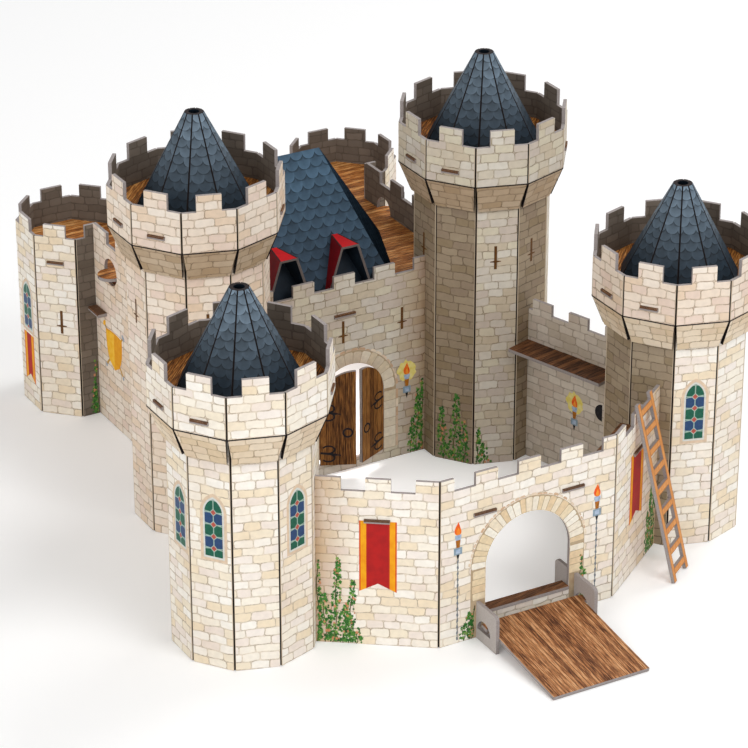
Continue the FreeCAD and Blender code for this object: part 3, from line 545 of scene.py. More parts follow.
def facetOfSideWall(side):
    def outward(centre):
        x, y = centre.x / millimetre, (centre.y - yardY) / millimetre
        if y < keepPlan["turretY"] - keepPlan["turretFlat"] - 0.2:
            return heading(90 - side * 90), farFromFold
        away = math.degrees(math.atan2(y - keepPlan["turretY"], x - side * keepPlan["turretX"]))
        out = heading(45 * round(away / 45))
        offset = (away + 22.5) % 45
        offset = math.radians(min(offset, 45 - offset))
        reach = math.hypot(x - side * keepPlan["turretX"], y - keepPlan["turretY"])
        return out, reach * math.sin(offset)
    return outward


def facetFlat(degrees):
    def outward(centre):
        return heading(degrees), farFromFold
    return outward


def dressWall(name, outward, outer, inner, foldReach=1.9, edge=None, second=None, shaded=()):
    # outer print, inner print, cut edge, fold groove, a print for faces that lean, one for shaded headings
    piece = nodes[name]
    mesh = piece.data
    mesh.materials.clear()
    for material in (outer, inner, edge or cutEdge, foldGroove, second or outer, stoneShade, foldLine):
        mesh.materials.append(material)
    nearFold = mesh.attributes.new("toFold", "FLOAT", "POINT")
    for vertex, value in zip(mesh.vertices, nearFold.data):
        value.value = outward(vertex.co)[1]
    flapTop = max(vertex.co.z for vertex in mesh.vertices) - 0.05 if second is not None else -1.0
    for polygon in mesh.polygons:
        normal = polygon.normal
        out, toFold = outward(polygon.center)
        facing = normal.dot(out)
        if abs(normal.z) > 0.9:
            number = 2
        elif second and 0.8 < facing < 0.96:
            number = 4
        elif facing > 0.8:
            number = 5 if any(out.dot(heading(degrees)) > 0.99 for degrees in shaded) else 0
        elif facing < -0.8:
            number = 1
        else:
            number = (6 if polygon.center.z > flapTop and edge is None else 3) if toFold < foldReach else 2
        # the turret's faces that look to -Y take the dark inside print: painted shade
        if number == 0 and "side_wall" in name and normal.y < -0.95:
            number = 1
        # the side walls in front of the turrets take the darker side print: painted shade
        if number == 0 and "side_wall" in name and polygon.center.y < yardY + 0.407:
            number = 4
        polygon.material_index = number
        polygon.use_smooth = False


for tower in towerNames:
    outward = facetOfTower(tower)
    low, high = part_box(tower + "_tower_cone")
    slate = slateMaterial("slatePrintCone" + tower.title().replace("_", ""), "212c36", "61707d", low.z + 0.02,
                          high.z,
                          slatePrint["coneTile"], slatePrint["coneRow"])
    # the rear towers take darker stone prints, the front right tower a darker crown band, and the listed headings
    # the shaded-side print: painted shade
    shaded = {"rear_right": (180, -144, -72), "front_right": (180, 144, -144)}.get(tower, ())
    outer = {"rear_right": stoneDim, "rear_left": stoneSideShade}.get(tower, stone)
    under = stoneTanDim if tower.startswith("rear") else stoneTan
    band = stoneSideShade if tower == "front_right" else outer
    dressWall(tower + "_tower_sleeve", outward, outer, stoneInside, shaded=shaded)
    dressWall(tower + "_tower_crown", outward, band, stoneInside, 3.4, None, under)
    dressWall(tower + "_tower_cone", outward, slate, navyInkAndShade, 2.4, foldGroove)
dressWall("gate_wall", facetOfGate, stoneGate, stoneCourt)
dressWall("keep_front_wall", facetFlat(-90), stoneKeep, stoneInside, 0.0, None, doorWood)
dressWall("keep_back_wall", facetFlat(90), stone, stoneInside, 0.0)
for side, word in ((-1, "left"), (1, "right")):
    dressWall("keep_side_wall_" + word, facetOfSideWall(side), stone, stoneInside)
    # slot 4 of the side walls holds the darker side print, painted shade
    nodes["keep_side_wall_" + word].data.materials[4] = stoneSideShade
    rear, front = towerPlan("rear_" + word), towerPlan("front_" + word)
    run = Vector((front[0] - rear[0], front[1] - rear[1], 0)).normalized()
    out = math.degrees(math.atan2(run.y, run.x)) - side * 90
    dressWall("curtain_wall_" + word, facetFlat(out + 180), stone, stoneCourt, 0.0)
    start = Vector((*rear, 0)) + run * (towerFlat + 0.15) + heading(out) * curtainPlan["inner"]
    curtainPlan[word] = face(start.x, start.y, out, side * 90)
for polygon in nodes["keep_front_wall"].data.polygons:
    if -0.96 < polygon.normal.y * -1 < -0.8:
        polygon.material_index = 4


def paint(name, materials, choose):
    # each polygon takes the finish that choose gives for it
    mesh = nodes[name].data
    mesh.materials.clear()
    for material in materials:
        mesh.materials.append(material)
    for polygon in mesh.polygons:
        polygon.material_index = choose(polygon)
        polygon.use_smooth = False


def roofSide(polygon):
    if polygon.normal.z > 0:
        # the roof's end that looks to +X takes the darker slate: painted shade
        return 3 if polygon.normal.x > 0.4 else 0
    return 1 if polygon.normal.z < -0.9 else 2


plankPlates = {"keep_floor": floorWood, "gallery_floor": floorWood, "gate_walkway": walkWood,
               "threshold_board": walkWood,
               "curtain_walkway_left": walkWood, "curtain_walkway_right": walkWood, "drawbridge": bridgeWood}
plankPlates.update({tower + "_tower_deck": deckWood for tower in towerNames})
for name, wood in plankPlates.items():
    paint(name, (cutEdge, wood), lambda polygon: int(abs(polygon.normal.z) > 0.9))
paint("keep_roof", (roofSlate, cutEdge, navyInkAndShade, hipSlateShade), roofSide)

dormerPlan = {"front": 207.0, "ridgeY": 267.0, "foot": 151.5, "ridge": 279.5, "z0": 171.0, "z1": 208.5,
              "half0": 17.4, "half1": 2.0, "fold": ((8.0, 0.3), (3.0, 27.0))}
run, rise = dormerPlan["ridgeY"] - dormerPlan["front"], dormerPlan["ridge"] - dormerPlan["foot"]
upSlope, offSlope = Vector((0, run, rise)).normalized(), Vector((0, -rise, run)).normalized()
for word in ("left", "right"):
    paint("bridge_plate_" + word, (cutEdge, boardFace), lambda polygon: int(abs(polygon.normal.x) > 0.9))
    low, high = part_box("dormer_" + word)
    middle = (low.x + high.x) / 2

    def dormerSide(polygon):
        normal, centre = polygon.normal, polygon.center
        if normal.y < -0.9:
            return 2
        if normal.z > 0.7 and centre.z > high.z - 0.001:
            return 0
        # outer cheeks take the darker red, painted shade
        if abs(normal.x) > 0.5 and (centre.x - middle) * normal.x > 0:
            return 1
        return 3 if abs(normal.z) < 0.95 else 2

    paint("dormer_" + word, (redInk, redShade, darkEdge, navyInkAndShade), dormerSide)
    foot = Vector((middle, yardY + dormerPlan["front"] * millimetre, dormerPlan["foot"] * millimetre))
    slope = {"origin": foot, "along": Vector((1, 0, 0)), "up": upSlope, "out": offSlope}
    v0, v1 = ((dormerPlan[key] - dormerPlan["foot"]) / upSlope.z for key in ("z0", "z1"))
    half0, half1 = dormerPlan["half0"], dormerPlan["half1"]
    shape = [(-half0, v0), (half0, v0), (half1, v1), (-half1, v1)]
    # a dark navy sheet on the roof inside each dormer: painted shade in the dormer's hollow
    slabMesh("dormer_shade_patch_" + word, slope, [(shape, -0.05, 0.12, 0, 0.5)], (navyInkAndShade,))
    lid = {"origin": Vector((foot.x, low.y, high.z)), "along": Vector((1, 0, 0)), "up": Vector((0, 1, 0)),
           "out": zAxis}
    # dark lines on the lid where it folds down to the cheeks: painted shade in the folds
    lines = [(tube2d([(side * s, z) for s, z in dormerPlan["fold"]], 1.1), -0.05, 0.08, 0, 0.5) for side in (-1, 1)]
    slabMesh("dormer_folds_" + word, lid, lines, (foldGroove,))
print("board parts dressed")

# Tab ends that come through a wall carry the dark end of the plank print
tabPrint = inkMaterial("plankPrintTabEnd", "6b4d37", "553a28", 2.0)


def capTabs(name, walls):
    mesh = nodes[name].data
    found = set()
    for polygon in mesh.polygons:
        for wall in walls:
            reach = (polygon.center - wall["origin"]).dot(wall["out"]) / millimetre
            if polygon.normal.dot(wall["out"]) < 0.99 or not 0.4 < reach < 14:
                continue
            corners = [mesh.vertices[i].co for i in polygon.vertices]
            along = [(corner - wall["origin"]).dot(wall["along"]) / millimetre for corner in corners]
            top = max(corner.z for corner in corners)
            count = len(found)
            found.add((round(wall["out"].x, 2), round(wall["out"].y, 2), round(min(along)), round(max(along))))
            if len(found) == count:
                continue
            lid = {"origin": wall["origin"] + zAxis * (top - wall["origin"].z), "along": wall["along"],
                   "up": wall["out"], "out": zAxis}
            shape = rectangle(min(along) + 0.1, max(along) - 0.1, 0.05, reach - 0.25)
            slabMesh("%s_tab_%d" % (name, count), lid, [(shape, -0.03, 0.07, 0, 0.5)], (tabPrint,))
            front = dict(wall, origin=wall["origin"] + wall["out"] * reach * millimetre)
            top /= millimetre
            band = rectangle(min(along) + 0.1, max(along) - 0.1, top - 1.7, top - 0.05)
            slabMesh("%s_tab_end_%d" % (name, count), front, [(band, -0.03, 0.07, 0, 0.5)], (tabPrint,))


# Ladder print: the picture of its rails and rungs, drawn with a darker outline
ladderPrint = {"width": 32.4, "length": 160.0, "rail": 5.2, "rung": 5.6, "gap": 12.2, "windows": 8, "s": 41.0,
               "footOut": 36.6, "line": 0.55, "wallTop": 149.0}


def ladderMaterial():
    # gives the eye warm drawn timber with a brown line along every edge
    material, add = startMaterial("ladderPrint")
    place = add("TexCoord", out="Object")
    lean = math.atan2(ladderPrint["footOut"] - 0.15, ladderPrint["wallTop"])
    side = face(gatePlan["half"], gatePlan["front"], -54, 90)
    foot = side["origin"] + (side["along"] * ladderPrint["s"] + side["out"] * ladderPrint["footOut"]) * millimetre
    rise = zAxis * math.cos(lean) - side["out"] * math.sin(lean)
    fromFoot = add("VectorMath SUBTRACT", (place, foot))
    across = add("VectorMath DOT_PRODUCT", (fromFoot, side["along"] / millimetre), "Value")
    along = add("VectorMath DOT_PRODUCT", (fromFoot, rise / millimetre), "Value")
    edge = add("Math PINGPONG", (across, ladderPrint["width"] / 2))
    railLine = add("Math PINGPONG", (edge, ladderPrint["rail"] / 2))
    pitch = ladderPrint["gap"] + ladderPrint["rung"]
    first = (ladderPrint["length"] - ladderPrint["windows"] * pitch - ladderPrint["rung"]) / 2
    step = add("Math ADD", (along, -first))
    step = add("Math FLOORED_MODULO", (step, pitch))
    rungLine = add("Math PINGPONG", (step, ladderPrint["rung"] / 2))
    onRail = add("Math LESS_THAN", (edge, ladderPrint["rail"]))
    line = add("Mix", {0: onRail, 2: rungLine, 3: railLine})
    line = add("MapRange", (line, ladderPrint["line"] * 0.5, ladderPrint["line"] * 1.6, 0.75, 0.0))
    streak = add("CombineXYZ", (across, add("Math MULTIPLY", (along, 0.12))), None)
    grain = add("TexNoise", {"Vector": streak.outputs[0], "Scale": 0.7, "Detail": 3.0}, noise_dimensions="2D")
    grain = add("MapRange", (grain, 0.3, 0.7, 0.0, 1.0))
    colour = add("Mix", {0: grain, 6: ink("c9803f"), 7: ink("dc9a58")}, **colourMix)
    colour = add("Mix", {0: line, 6: colour, 7: ink("93551f")}, **colourMix)
    return finishMaterial(material, add, place, colour, 0.55), side["out"] * math.cos(lean) + zAxis * math.sin(lean)


ladderInk, ladderOut = ladderMaterial()
paint("ladder", (cutEdge, ladderInk), lambda polygon: int(abs(polygon.normal.dot(ladderOut)) > 0.9))

# Printed wall furniture
gateFront = face(0.0, gatePlan["front"], -90, 90)
gateLeft = face(-gatePlan["half"], gatePlan["front"], -126, -90)
gateRight = face(gatePlan["half"], gatePlan["front"], -54, 90)
keepFront = face(0.0, keepPlan["front"], -90, 90)
keepSides = {"left": face(-keepPlan["side"], 0.0, 180, -90), "right": face(keepPlan["side"], 0.0, 0, 90)}

for tower in towerNames:
    capTabs(tower + "_tower_deck", [towerFace(tower, k, crownFlat) for k in range(10)])
capTabs("gate_walkway", [gateFront, gateLeft, gateRight])
turretWalls = [keepFront, keepSides["left"], keepSides["right"]]
for side in (-1, 1):
    for degrees in range(0, 360, 45):
        middle = Vector((side * keepPlan["turretX"], keepPlan["turretY"],
                         0)) + heading(degrees) * keepPlan["turretFlat"]
        turretWalls.append(face(middle.x, middle.y, degrees, -90))
capTabs("keep_floor", turretWalls)
capTabs("gallery_floor", [keepSides["left"], keepSides["right"]])

leadedWindow = {"lobe": 10.6, "surround": 3.9, "sillDrop": 4.2}
surroundStone = tintMaterial("windowSurroundPrint", ("dcc4a9", "d3d5cf"))
leadedGlass = glassMaterial()


def printWindow(name, wall, s, half, z0, z1):
    spring = z1 - half * 1.55
    grow = leadedWindow["surround"]
    outer = pointedArch(s, half + grow, z0 - leadedWindow["sillDrop"], spring, z1 + grow * 1.25)
    inner = pointedArch(s, half + grow * 0.36, z0 - leadedWindow["sillDrop"] * 0.4, spring, z1 + grow * 0.48)
    glass = pointedArch(s, half, z0, spring, z1)
    shapes = [(outer, -0.03, 0.05, 0, 0.2), (inner, 0.0, 0.09, 0, 0.7), (glass, 0.02, 0.13, 1, 0.5, (s, z1 - 11.6))]
    slabMesh(name, wall, shapes, (surroundStone, leadedGlass))


printWindow("window_front_left_a", towerFace("front_left", 2), 14.6, 8.0, 99.5, 150.0)
printWindow("window_front_left_b", towerFace("front_left", 1), 15.6, 7.6, 99.5, 150.0)
printWindow("window_front_left_c", towerFace("front_left", -1), 17.5, 7.7, 99.5, 150.0)
printWindow("window_front_right", towerFace("front_right", 0), 17.9, 7.8, 99.5, 150.0)
turretFaces = {}
for word, side in (("left", -1), ("right", 1)):
    middle = side * (keepPlan["turretX"] + keepPlan["turretFlat"])
    turretFaces[word] = face(middle, 436.5, 90 - side * 90, side * 90)
    printWindow("window_turret_" + word, turretFaces[word], 20.5, 7.6, 76.0, 120.0)

bannerPrint = {"stripe": 4.3, "edge": 1.2, "notch": 7.5}
bannerInks = (inkMaterial("bannerRedPrint", "b51d1c", "a31a1b"), inkMaterial("bannerGoldPrint", "f0a818", "e8930e"),
              inkMaterial("bannerOrangePrint", "d95a1c", "cf4a1a"))


def printBanner(name, wall, s0, s1, z0, z1):
    middle = (s0 + s1) / 2
    notch = bannerPrint["notch"]
    whole = [(s0, z1), (s0, z0), (middle, z0 + notch), (s1, z0), (s1, z1)]
    slope = notch / (middle - s0)
    shapes = [(whole, -0.03, 0.05, 2, 0.5)]
    a, b = bannerPrint["edge"], bannerPrint["edge"] + bannerPrint["stripe"]
    for mirror in (1, -1):
        start = s0 if mirror > 0 else s1
        stripe = [(start + mirror * a, z1), (start + mirror * a, z0 + a * slope),
                  (start + mirror * b, z0 + b * slope), (start + mirror * b, z1)]
        shapes.append((stripe, 0.0, 0.09, 1, 0.5))
    b += 0.5
    field = [(s0 + b, z1), (s0 + b, z0 + b * slope), (middle, z0 + notch), (s1 - b, z0 + b * slope), (s1 - b, z1)]
    shapes.append((field, 0.0, 0.1, 0, 0.5))
    slabMesh(name, wall, shapes, bannerInks)


printBanner("banner_gate_left", gateLeft, 33.7, 63.5, 48.5, 112.0)
printBanner("banner_gate_right", gateRight, 34.6, 63.8, 48.5, 112.5)
for word in ("left", "right"):
    printBanner("banner_turret_" + word, turretFaces[word], 10.5, 31.0, 22.0, 70.0)

torchInks = (inkMaterial("flamePrint", "e8501c", "f07a24", 4.0), inkMaterial("flameHeartPrint", "f8a63a", "f4862a",
                                                                             4.0),
             inkMaterial("torchRingPrint", "8fa6c4", "b5c4d8", 3.0),
             inkMaterial("torchShaftPrint", "b5701f", "8d5216", 3.0),
             inkMaterial("torchBracketPrint", "7d93a2", "93a7b3", 3.0),
             inkMaterial("blackIronPrintAndShade", "17161a", "232126", 3.0),
             inkMaterial("chainPrint", "6a7076", "8a9095", 2.0), inkMaterial("torchGlowPrint", "e3d164", "ebdf96",
                                                                             4.0))


def flameOutline(s, z, width, height):
    points = []
    for i in range(24):
        t = i / 24
        a = 2 * math.pi * t
        pinch = math.sin(a / 2) ** 1.6
        points.append((s + width / 2 * math.sin(a) * pinch * 1.25 + 0.06 * width * math.cos(2 * a),
                       z + height * (0.5 + 0.5 * math.cos(a))))
    return points


# bars of a torch: half width, foot and top below the flame's tip, lower and upper face, ink, tint
torchBars = ((2.9, 14.6, 11.8, 0.0, 0.1, 2, 0.5), (2.2, 16.4, 14.6, 0.0, 0.12, 2, 0.2),
             (3.8, 29.5, 23.2, -0.02, 0.1, 4, 0.5), (2.0, 28.3, 24.6, 0.0, 0.13, 2, 0.2))
torchPrint = {"flame": (7.2, 12.0), "heart": (3.4, 6.6), "halo": (9.0, 8.5, 10.5), "link": 2.7, "chainTop": 34.0}


def printTorch(name, wall, s, top, glow=False, chainTo=None):
    shapes = []
    if glow:
        rng = random.Random(7)
        wide, drop, tall = torchPrint["halo"]
        halo = []
        for i in range(22):
            a = 2 * math.pi * i / 22
            halo.append((s + (wide + rng.uniform(-1.6, 1.6)) * math.cos(a),
                         top - drop + (tall + rng.uniform(-2, 2)) * math.sin(a)))
        shapes.append((halo, -0.03, 0.03, 7, 0.5))
    shapes.append((flameOutline(s, top - 12, *torchPrint["flame"]), -0.02, 0.08, 0, 0.5))
    shapes.append((flameOutline(s + 0.2, top - 11.6, *torchPrint["heart"]), 0.0, 0.11, 1, 0.5))
    for half, foot, head, low, high, number, tint in torchBars:
        shapes.append((rectangle(s - half, s + half, top - foot, top - head), low, high, number, tint))
    shaft = [(s + a, top - b) for a, b in ((-2.2, 16.4), (-1.2, 25.5), (1.2, 25.5), (2.2, 16.4))]
    shapes.append((shaft, -0.02, 0.09, 3, 0.5))
    tip = [(s + a, top - b) for a, b in ((-1.5, 29.2), (0.0, 35.2), (1.5, 29.2))]
    shapes.append((tip, -0.02, 0.08, 5, 0.5))
    if chainTo is not None:
        z, turn = top - torchPrint["chainTop"], 0
        while z - 3.0 > chainTo:
            width = 1.9 if turn % 2 == 0 else 0.9
            shapes.append((blob(s, z - 1.7, width, 3.7, 8, 0.1 if turn % 4 == 0 else -0.1), -0.02, 0.06, 6, 0.5))
            z -= torchPrint["link"]
            turn += 1
    slabMesh(name, wall, shapes, torchInks)


printTorch("torch_gate_left", gateFront, -65.2, 110.0, chainTo=0.4)
printTorch("torch_gate_right", gateFront, 64.5, 110.0, chainTo=10.8)
printTorch("torch_keep_left", keepFront, -49.1, 90.0, True)
printTorch("torch_keep_right", keepFront, 61.7, 90.0, True)
for word in ("left", "right"):
    printTorch("torch_curtain_" + word, curtainPlan[word], *curtainPlan["torch"], True)
# a black half-disc on the right curtain: painted shade of an opening
keyhole = curve(*curtainPlan["recess"], 90, 270, 10)
slabMesh("curtain_recess_shade_right", curtainPlan["right"], [(keyhole, -0.03, 0.06, 5, 0.5)], torchInks)

slitInk = inkMaterial("arrowSlitPrint", "5a3a1c", "6b4722", 3.0)


def printSlit(name, wall, s, z0, z1, width=2.5, arm=9.6):
    cross = z0 + (z1 - z0) * 0.33
    bar = rectangle(s - width / 2, s + width / 2, z0, z1)
    arms = [(s - arm / 2, cross - 0.35), (s, cross - 1.0), (s + arm / 2, cross - 0.35),
            (s + arm / 2, cross + 0.35), (s, cross + 1.0), (s - arm / 2, cross + 0.35)]
    shapes = [(bar, -0.01, 0.09, 0, 0.5), (arms, -0.02, 0.08, 0, 0.5)]
    slabMesh(name, wall, shapes, (slitInk,))


printSlit("slit_keep_left", keepFront, -1.5, 123.3, 144.3)
printSlit("slit_keep_right", keepFront, 56.6, 123.3, 144.3)
printSlit("slit_keep_far_left", keepFront, -56.0, 123.3, 144.3)
for tower in ("rear_left", "rear_right"):
    for k in (0, 2, 7, 9):
        printSlit("slit_%s_%d" % (tower, k), towerFace(tower, k), 19.8, 187.0, 208.6)
for side, word in ((-1, "left"), (1, "right")):
    diagonal = face(side * (keepPlan["turretX"] + turretReach), keepPlan["turretY"] - keepPlan["turretFlat"],
                    -90 + side * 45, side * 90)
    printSlit("slit_turret_" + word, diagonal, 16.2, 81.5, 103.8)
    wall = keepSides[word]
    slot = rectangle(342.6, 344.0, 175.8, 182.6)
    lock = rectangle(368.3, 369.7, 139.9, 145.0)
    slabMesh("slots_keep_side_" + word, wall, [(slot, -0.02, 0.08, 0, 0.5), (lock, -0.02, 0.08, 0, 0.5)],
             (slitInk,))

# Arch stones: a ring of wedges over each arch, quoins down the gate's jambs
arch = {"radius": 39.6, "outer": 53.2, "spring": 62.2, "wedges": 25, "joint": 0.35, "band": 2.6,
             "keepX": 6.3, "keepSpring": 69.5, "keepInner": 32.4, "keepOuter": 44.4}
archStone = tintMaterial("archStonePrint", ("efe6d4", "e9d8b8", "f4eee0", "e6d2ae", "eddfc6", "e3cba6"))
archJoint = inkMaterial("archJointPrint", "bda88a", "b09a7c", 5.0)
archRing = tintMaterial("archRingPrint", ("d9bfa4", "e4cfb6", "cfae8f", "e9dac4"))


def ringStones(rng, cx, cz, inner, outer, start, end, count, joint, number):
    shapes = []
    marks = [start]
    for i in range(count):
        marks.append(marks[-1] + (end - start) / count * rng.uniform(0.78, 1.22))
    stretchBy = (end - start) / (marks[-1] - start)
    marks = [start + (m - start) * stretchBy for m in marks]
    for a, b in zip(marks, marks[1:]):
        gap = math.degrees(joint / outer)
        high = outer - rng.uniform(0.0, 1.2)
        bow = (b - a) * 0.16
        outline = curve(cx, cz, inner + 0.2, a + gap, b - gap, 2)
        outline += curve(cx, cz, high - 1.0, b - gap, b - gap, 1)[:1]
        outline += curve(cx, cz, high, b - gap - bow, a + gap + bow, 2)
        outline += curve(cx, cz, high - 1.0, a + gap, a + gap, 1)[:1]
        shapes.append((outline, 0.0, 0.09, number, rng.random()))
    return shapes


def archBand(cx, foot, spring, inner, outer):
    # the mortar under the stones, in two halves
    shapes = []
    for side in (1, -1):
        half = [(inner, foot), (outer, foot)] + curve(0, spring, outer, 0, 90, 14) + curve(0, spring, inner, 90, 0,
                                                                                           14)
        shapes.append(([(cx + side * s, z) for s, z in half], -0.03, 0.05, 1, 0.5))
    return shapes


rng = random.Random(21)
shapes = archBand(0, 0.2, arch["spring"], arch["radius"], arch["outer"])
shapes += ringStones(rng, 0, arch["spring"], arch["radius"], arch["outer"] - 0.4, 0, 180, arch["wedges"],
                     arch["joint"], 0)
shapes += ringStones(rng, 0, arch["spring"], arch["outer"] + 0.2, arch["outer"] + arch["band"], 4, 176, 34, 0.3, 2)
for side in (-1, 1):
    z = 34.0
    while z < arch["spring"] - 3:
        high = min(z + rng.uniform(5.5, 8.5), arch["spring"] - 0.3)
        wide = arch["outer"] - 0.4 - rng.uniform(0.0, 1.8)
        outline = [(side * s, t) for s, t in [(arch["radius"] + 0.2, z + 0.35), (wide - 0.6, z + 0.35),
                                              (wide, z + 1.2),
                                             (wide, high - 1.0), (wide - 0.7, high - 0.2),
                                             (arch["radius"] + 0.2, high - 0.2)]]
        shapes.append((outline, 0.0, 0.09, 0, rng.random()))
        z = high
slabMesh("arch_stones_gate", gateFront, shapes, (archStone, archJoint, archRing))

keepArchStone = tintMaterial("keepArchPrint", ("e2d6c0", "dccdb2", "e8decb", "d8cab4"))
shapes = archBand(arch["keepX"], 10.4, arch["keepSpring"], arch["keepInner"], arch["keepOuter"])
shapes += ringStones(rng, arch["keepX"], arch["keepSpring"], arch["keepInner"], arch["keepOuter"] - 0.3, 0, 180,
                     15, 0.3, 0)
shapes += ringStones(rng, arch["keepX"], arch["keepSpring"], arch["keepOuter"], arch["keepOuter"] + 2.4, 2, 178,
                     22, 0.3, 2)
for side in (-1, 1):
    z = 10.6
    while z < arch["keepSpring"] - 3:
        high = min(z + rng.uniform(7.0, 12.0), arch["keepSpring"] - 0.3)
        for a, b, number in ((arch["keepInner"] + 0.2, arch["keepOuter"] - 0.3, 0),
                             (arch["keepOuter"], arch["keepOuter"] + 2.2, 2)):
            outline = [(arch["keepX"] + side * s, t) for s, t in [(a, z + 0.3), (b, z + 0.3), (b, high - 0.2),
                                                                  (a, high - 0.2)]]
            shapes.append((outline, 0.0, 0.09, number, rng.random()))
        z = high
slabMesh("arch_stones_keep", keepFront, shapes, (keepArchStone, archJoint, archRing))

# Door irons on the two leaves, which stand 25 degrees open
doorPlan = {"x": 6.3, "half": 32.2, "swing": 25.0, "iron": 1.1}


def leafFace(side):
    out = -90 + side * doorPlan["swing"]
    return face(doorPlan["x"] + side * doorPlan["half"], keepPlan["front"], out, -side * 90)


for side, word in ((-1, "left"), (1, "right")):
    leaf = leafFace(side)
    shapes = []
    for z in (22.0, 62.0):
        shapes.append((tube2d([(1.0, z + 1.0), (6.0, z + 0.3), (15.5, z - 1.2)], 2.0), -0.02, 0.12, 0, 0.5))
        for turn in (1, -1):
            hook = [(8.0 + 5.5 * math.cos(a), z + turn * (4.0 + 3.6 * math.sin(a))) for a in
                    [math.radians(-90 + 20 * i) for i in range(13)]]
            shapes.append((tube2d(hook, 1.5), -0.02, 0.1 + 0.01 * turn, 0, 0.5))
        shapes.append((tube2d([(15.0, z - 1.1), (19.0, z - 1.8)], 1.1), -0.02, 0.1, 0, 0.5))
    ring = curve(25.0, 42.0, 4.0, 90, 442, 20)
    shapes.append((tube2d(ring, 1.6), -0.02, 0.12, 0, 0.5))
    shapes.append((blob(25.0, 46.0, 2.2, 2.2, 8), -0.02, 0.14, 0, 0.5))
    slabMesh("door_irons_" + word, leaf, shapes, (torchInks[5],))
print("windows, banners, torches and arches printed")

# Shield on each of the keep's sides: a plain gold shield over crossed staves
shieldInks = (inkMaterial("shieldGoldPrint", "f2b21e", "f7c443", 5.0),
              inkMaterial("shieldShadePrint", "e0950f", "e8a21c", 5.0),
              inkMaterial("staffPrint", "c99a3a", "a8803a", 4.0),
              inkMaterial("staffTipPrint", "8a94a0", "a5adb8", 4.0))
shieldPlan = {"s": 373.5, "z": 76.0, "width": 30.0, "height": 34.0}


def shieldOutline(s, z, width, height, grow=0.0):
    half, top = width / 2 + grow, z + height / 2 + grow
    points = [(s - half, top - 1.5), (s - half * 0.5, top - 0.2), (s, top), (s + half * 0.5, top - 0.2),
              (s + half, top - 1.5)]
    for t in (0.25, 0.5, 0.7, 0.85, 1.0):
        points.append((s + half * (1 - t ** 3) ** 0.6, top - 1.5 - (height + grow) * t))
    points += [(2 * s - a, b) for a, b in points[-2:4:-1]]
    return points


for word in ("left", "right"):
    wall = keepSides[word]
    s, z, width, height = (shieldPlan[key] for key in ("s", "z", "width", "height"))
    shapes = []
    for lean in (1, -1):
        ends = [(s - lean * 19, z + 21), (s + lean * 17, z - 19)]
        shapes.append((tube2d(ends, 2.2), -0.03, 0.05 + 0.01 * lean, 2, 0.5))
        shapes.append((blob(s - lean * 19, z + 21, 5.0, 6.0, 8, lean * 0.4), -0.02, 0.09, 3 if lean > 0 else 0,
                       0.5))
        shapes.append((blob(s + lean * 17, z - 19.5, 3.4, 4.0, 8), -0.02, 0.08, 3, 0.5))
    shapes.append((shieldOutline(s, z, width, height, 1.3), -0.02, 0.1, 1, 0.5))
    shapes.append((shieldOutline(s, z, width, height), 0.0, 0.14, 0, 0.5))
    half = [(a, b) for a, b in shieldOutline(s, z, width, height) if a <= s + 0.01]
    shapes.append((half, 0.02, 0.16, 1, 0.5))
    slabMesh("shield_keep_" + word, wall, shapes, shieldInks)

# Ivy: printed leaves climbing from the ground
ivyLeaf = tintMaterial("ivyLeafPrint", ("2f6a2a", "467d33", "356f2c", "6b9640", "55893a", "3f7a36", "284f28",
                                        "7da04e", "3c7431", "31632b", "c98a62", "2a5a28", "4a8238"), 0.55, 2.0)
ivyStem = inkMaterial("ivyStemPrint", "4a5a2a", "5b4a2c", 3.0)


def leafOutline(s, z, size, turn):
    points = []
    for i in range(10):
        radius = size * (1.0 if i % 2 == 0 else 0.52)
        a = turn + math.pi / 5 * i
        points.append((s + radius * math.cos(a) * 0.85, z + radius * math.sin(a)))
    return points


def printIvy(name, wall, stems, seed, sMin, sMax):
    # stems: foot s, top s, top z, half width at the foot
    rng = random.Random(seed)
    shapes = []
    for footS, topS, topZ, spread in stems:
        line = [(footS + (topS - footS) * t + math.sin(t * 9 + footS) * 1.1,
                 topZ * t) for t in [i / 8 for i in range(9)]]
        shapes.append((tube2d(line, 0.8), -0.02, 0.05, 1, 0.5))
        count = int(topZ * (1.0 + spread * 0.26))
        for _ in range(count):
            t = rng.random() ** 1.25
            half = spread * (1 - t) ** 0.8 + 1.3
            s = footS + (topS - footS) * t + rng.uniform(-half, half)
            z = topZ * t + rng.uniform(-1.5, 1.5)
            size = rng.uniform(1.0, 2.1)
            if sMin + size < s < sMax - size and z > size:
                shapes.append((leafOutline(s, z, size, rng.uniform(0, 6.28)), 0.0, rng.uniform(0.08, 0.16), 0,
                               rng.random()))
    slabMesh(name, wall, shapes, (ivyLeaf, ivyStem))


printIvy("ivy_gate_left_panel", gateLeft, [(96, 97, 74, 2), (90, 92, 44, 9), (84, 80, 76, 5), (76, 74, 36, 9),
                                           (72, 68, 58, 4), (66, 64, 14, 5)], 3, 58, 98)
printIvy("ivy_gate_right_panel", gateRight, [(94, 93, 66, 4), (86, 86, 62, 7), (80, 79, 40, 6)], 4, 70, 98)
printIvy("ivy_gate_foot_left", gateFront, [(-55, -54, 24, 5), (-58, -60, 14, 4), (-51, -50, 30, 2)], 5, -64, -48.5)
printIvy("ivy_gate_foot_right", gateFront, [(50.5, 50, 50, 2), (53.5, 54, 34, 3)], 6, 48.5, 60)
printIvy("ivy_keep_right", keepFront, [(72, 73, 62, 5), (66, 68, 34, 4), (77, 77, 70, 2)], 8, 58, 79.5)
printIvy("ivy_rear_right_a", towerFace("rear_right", 1), [(18, 16, 66, 6), (28, 30, 50, 6), (8, 9, 40, 5)], 9, 2,
         35.5)
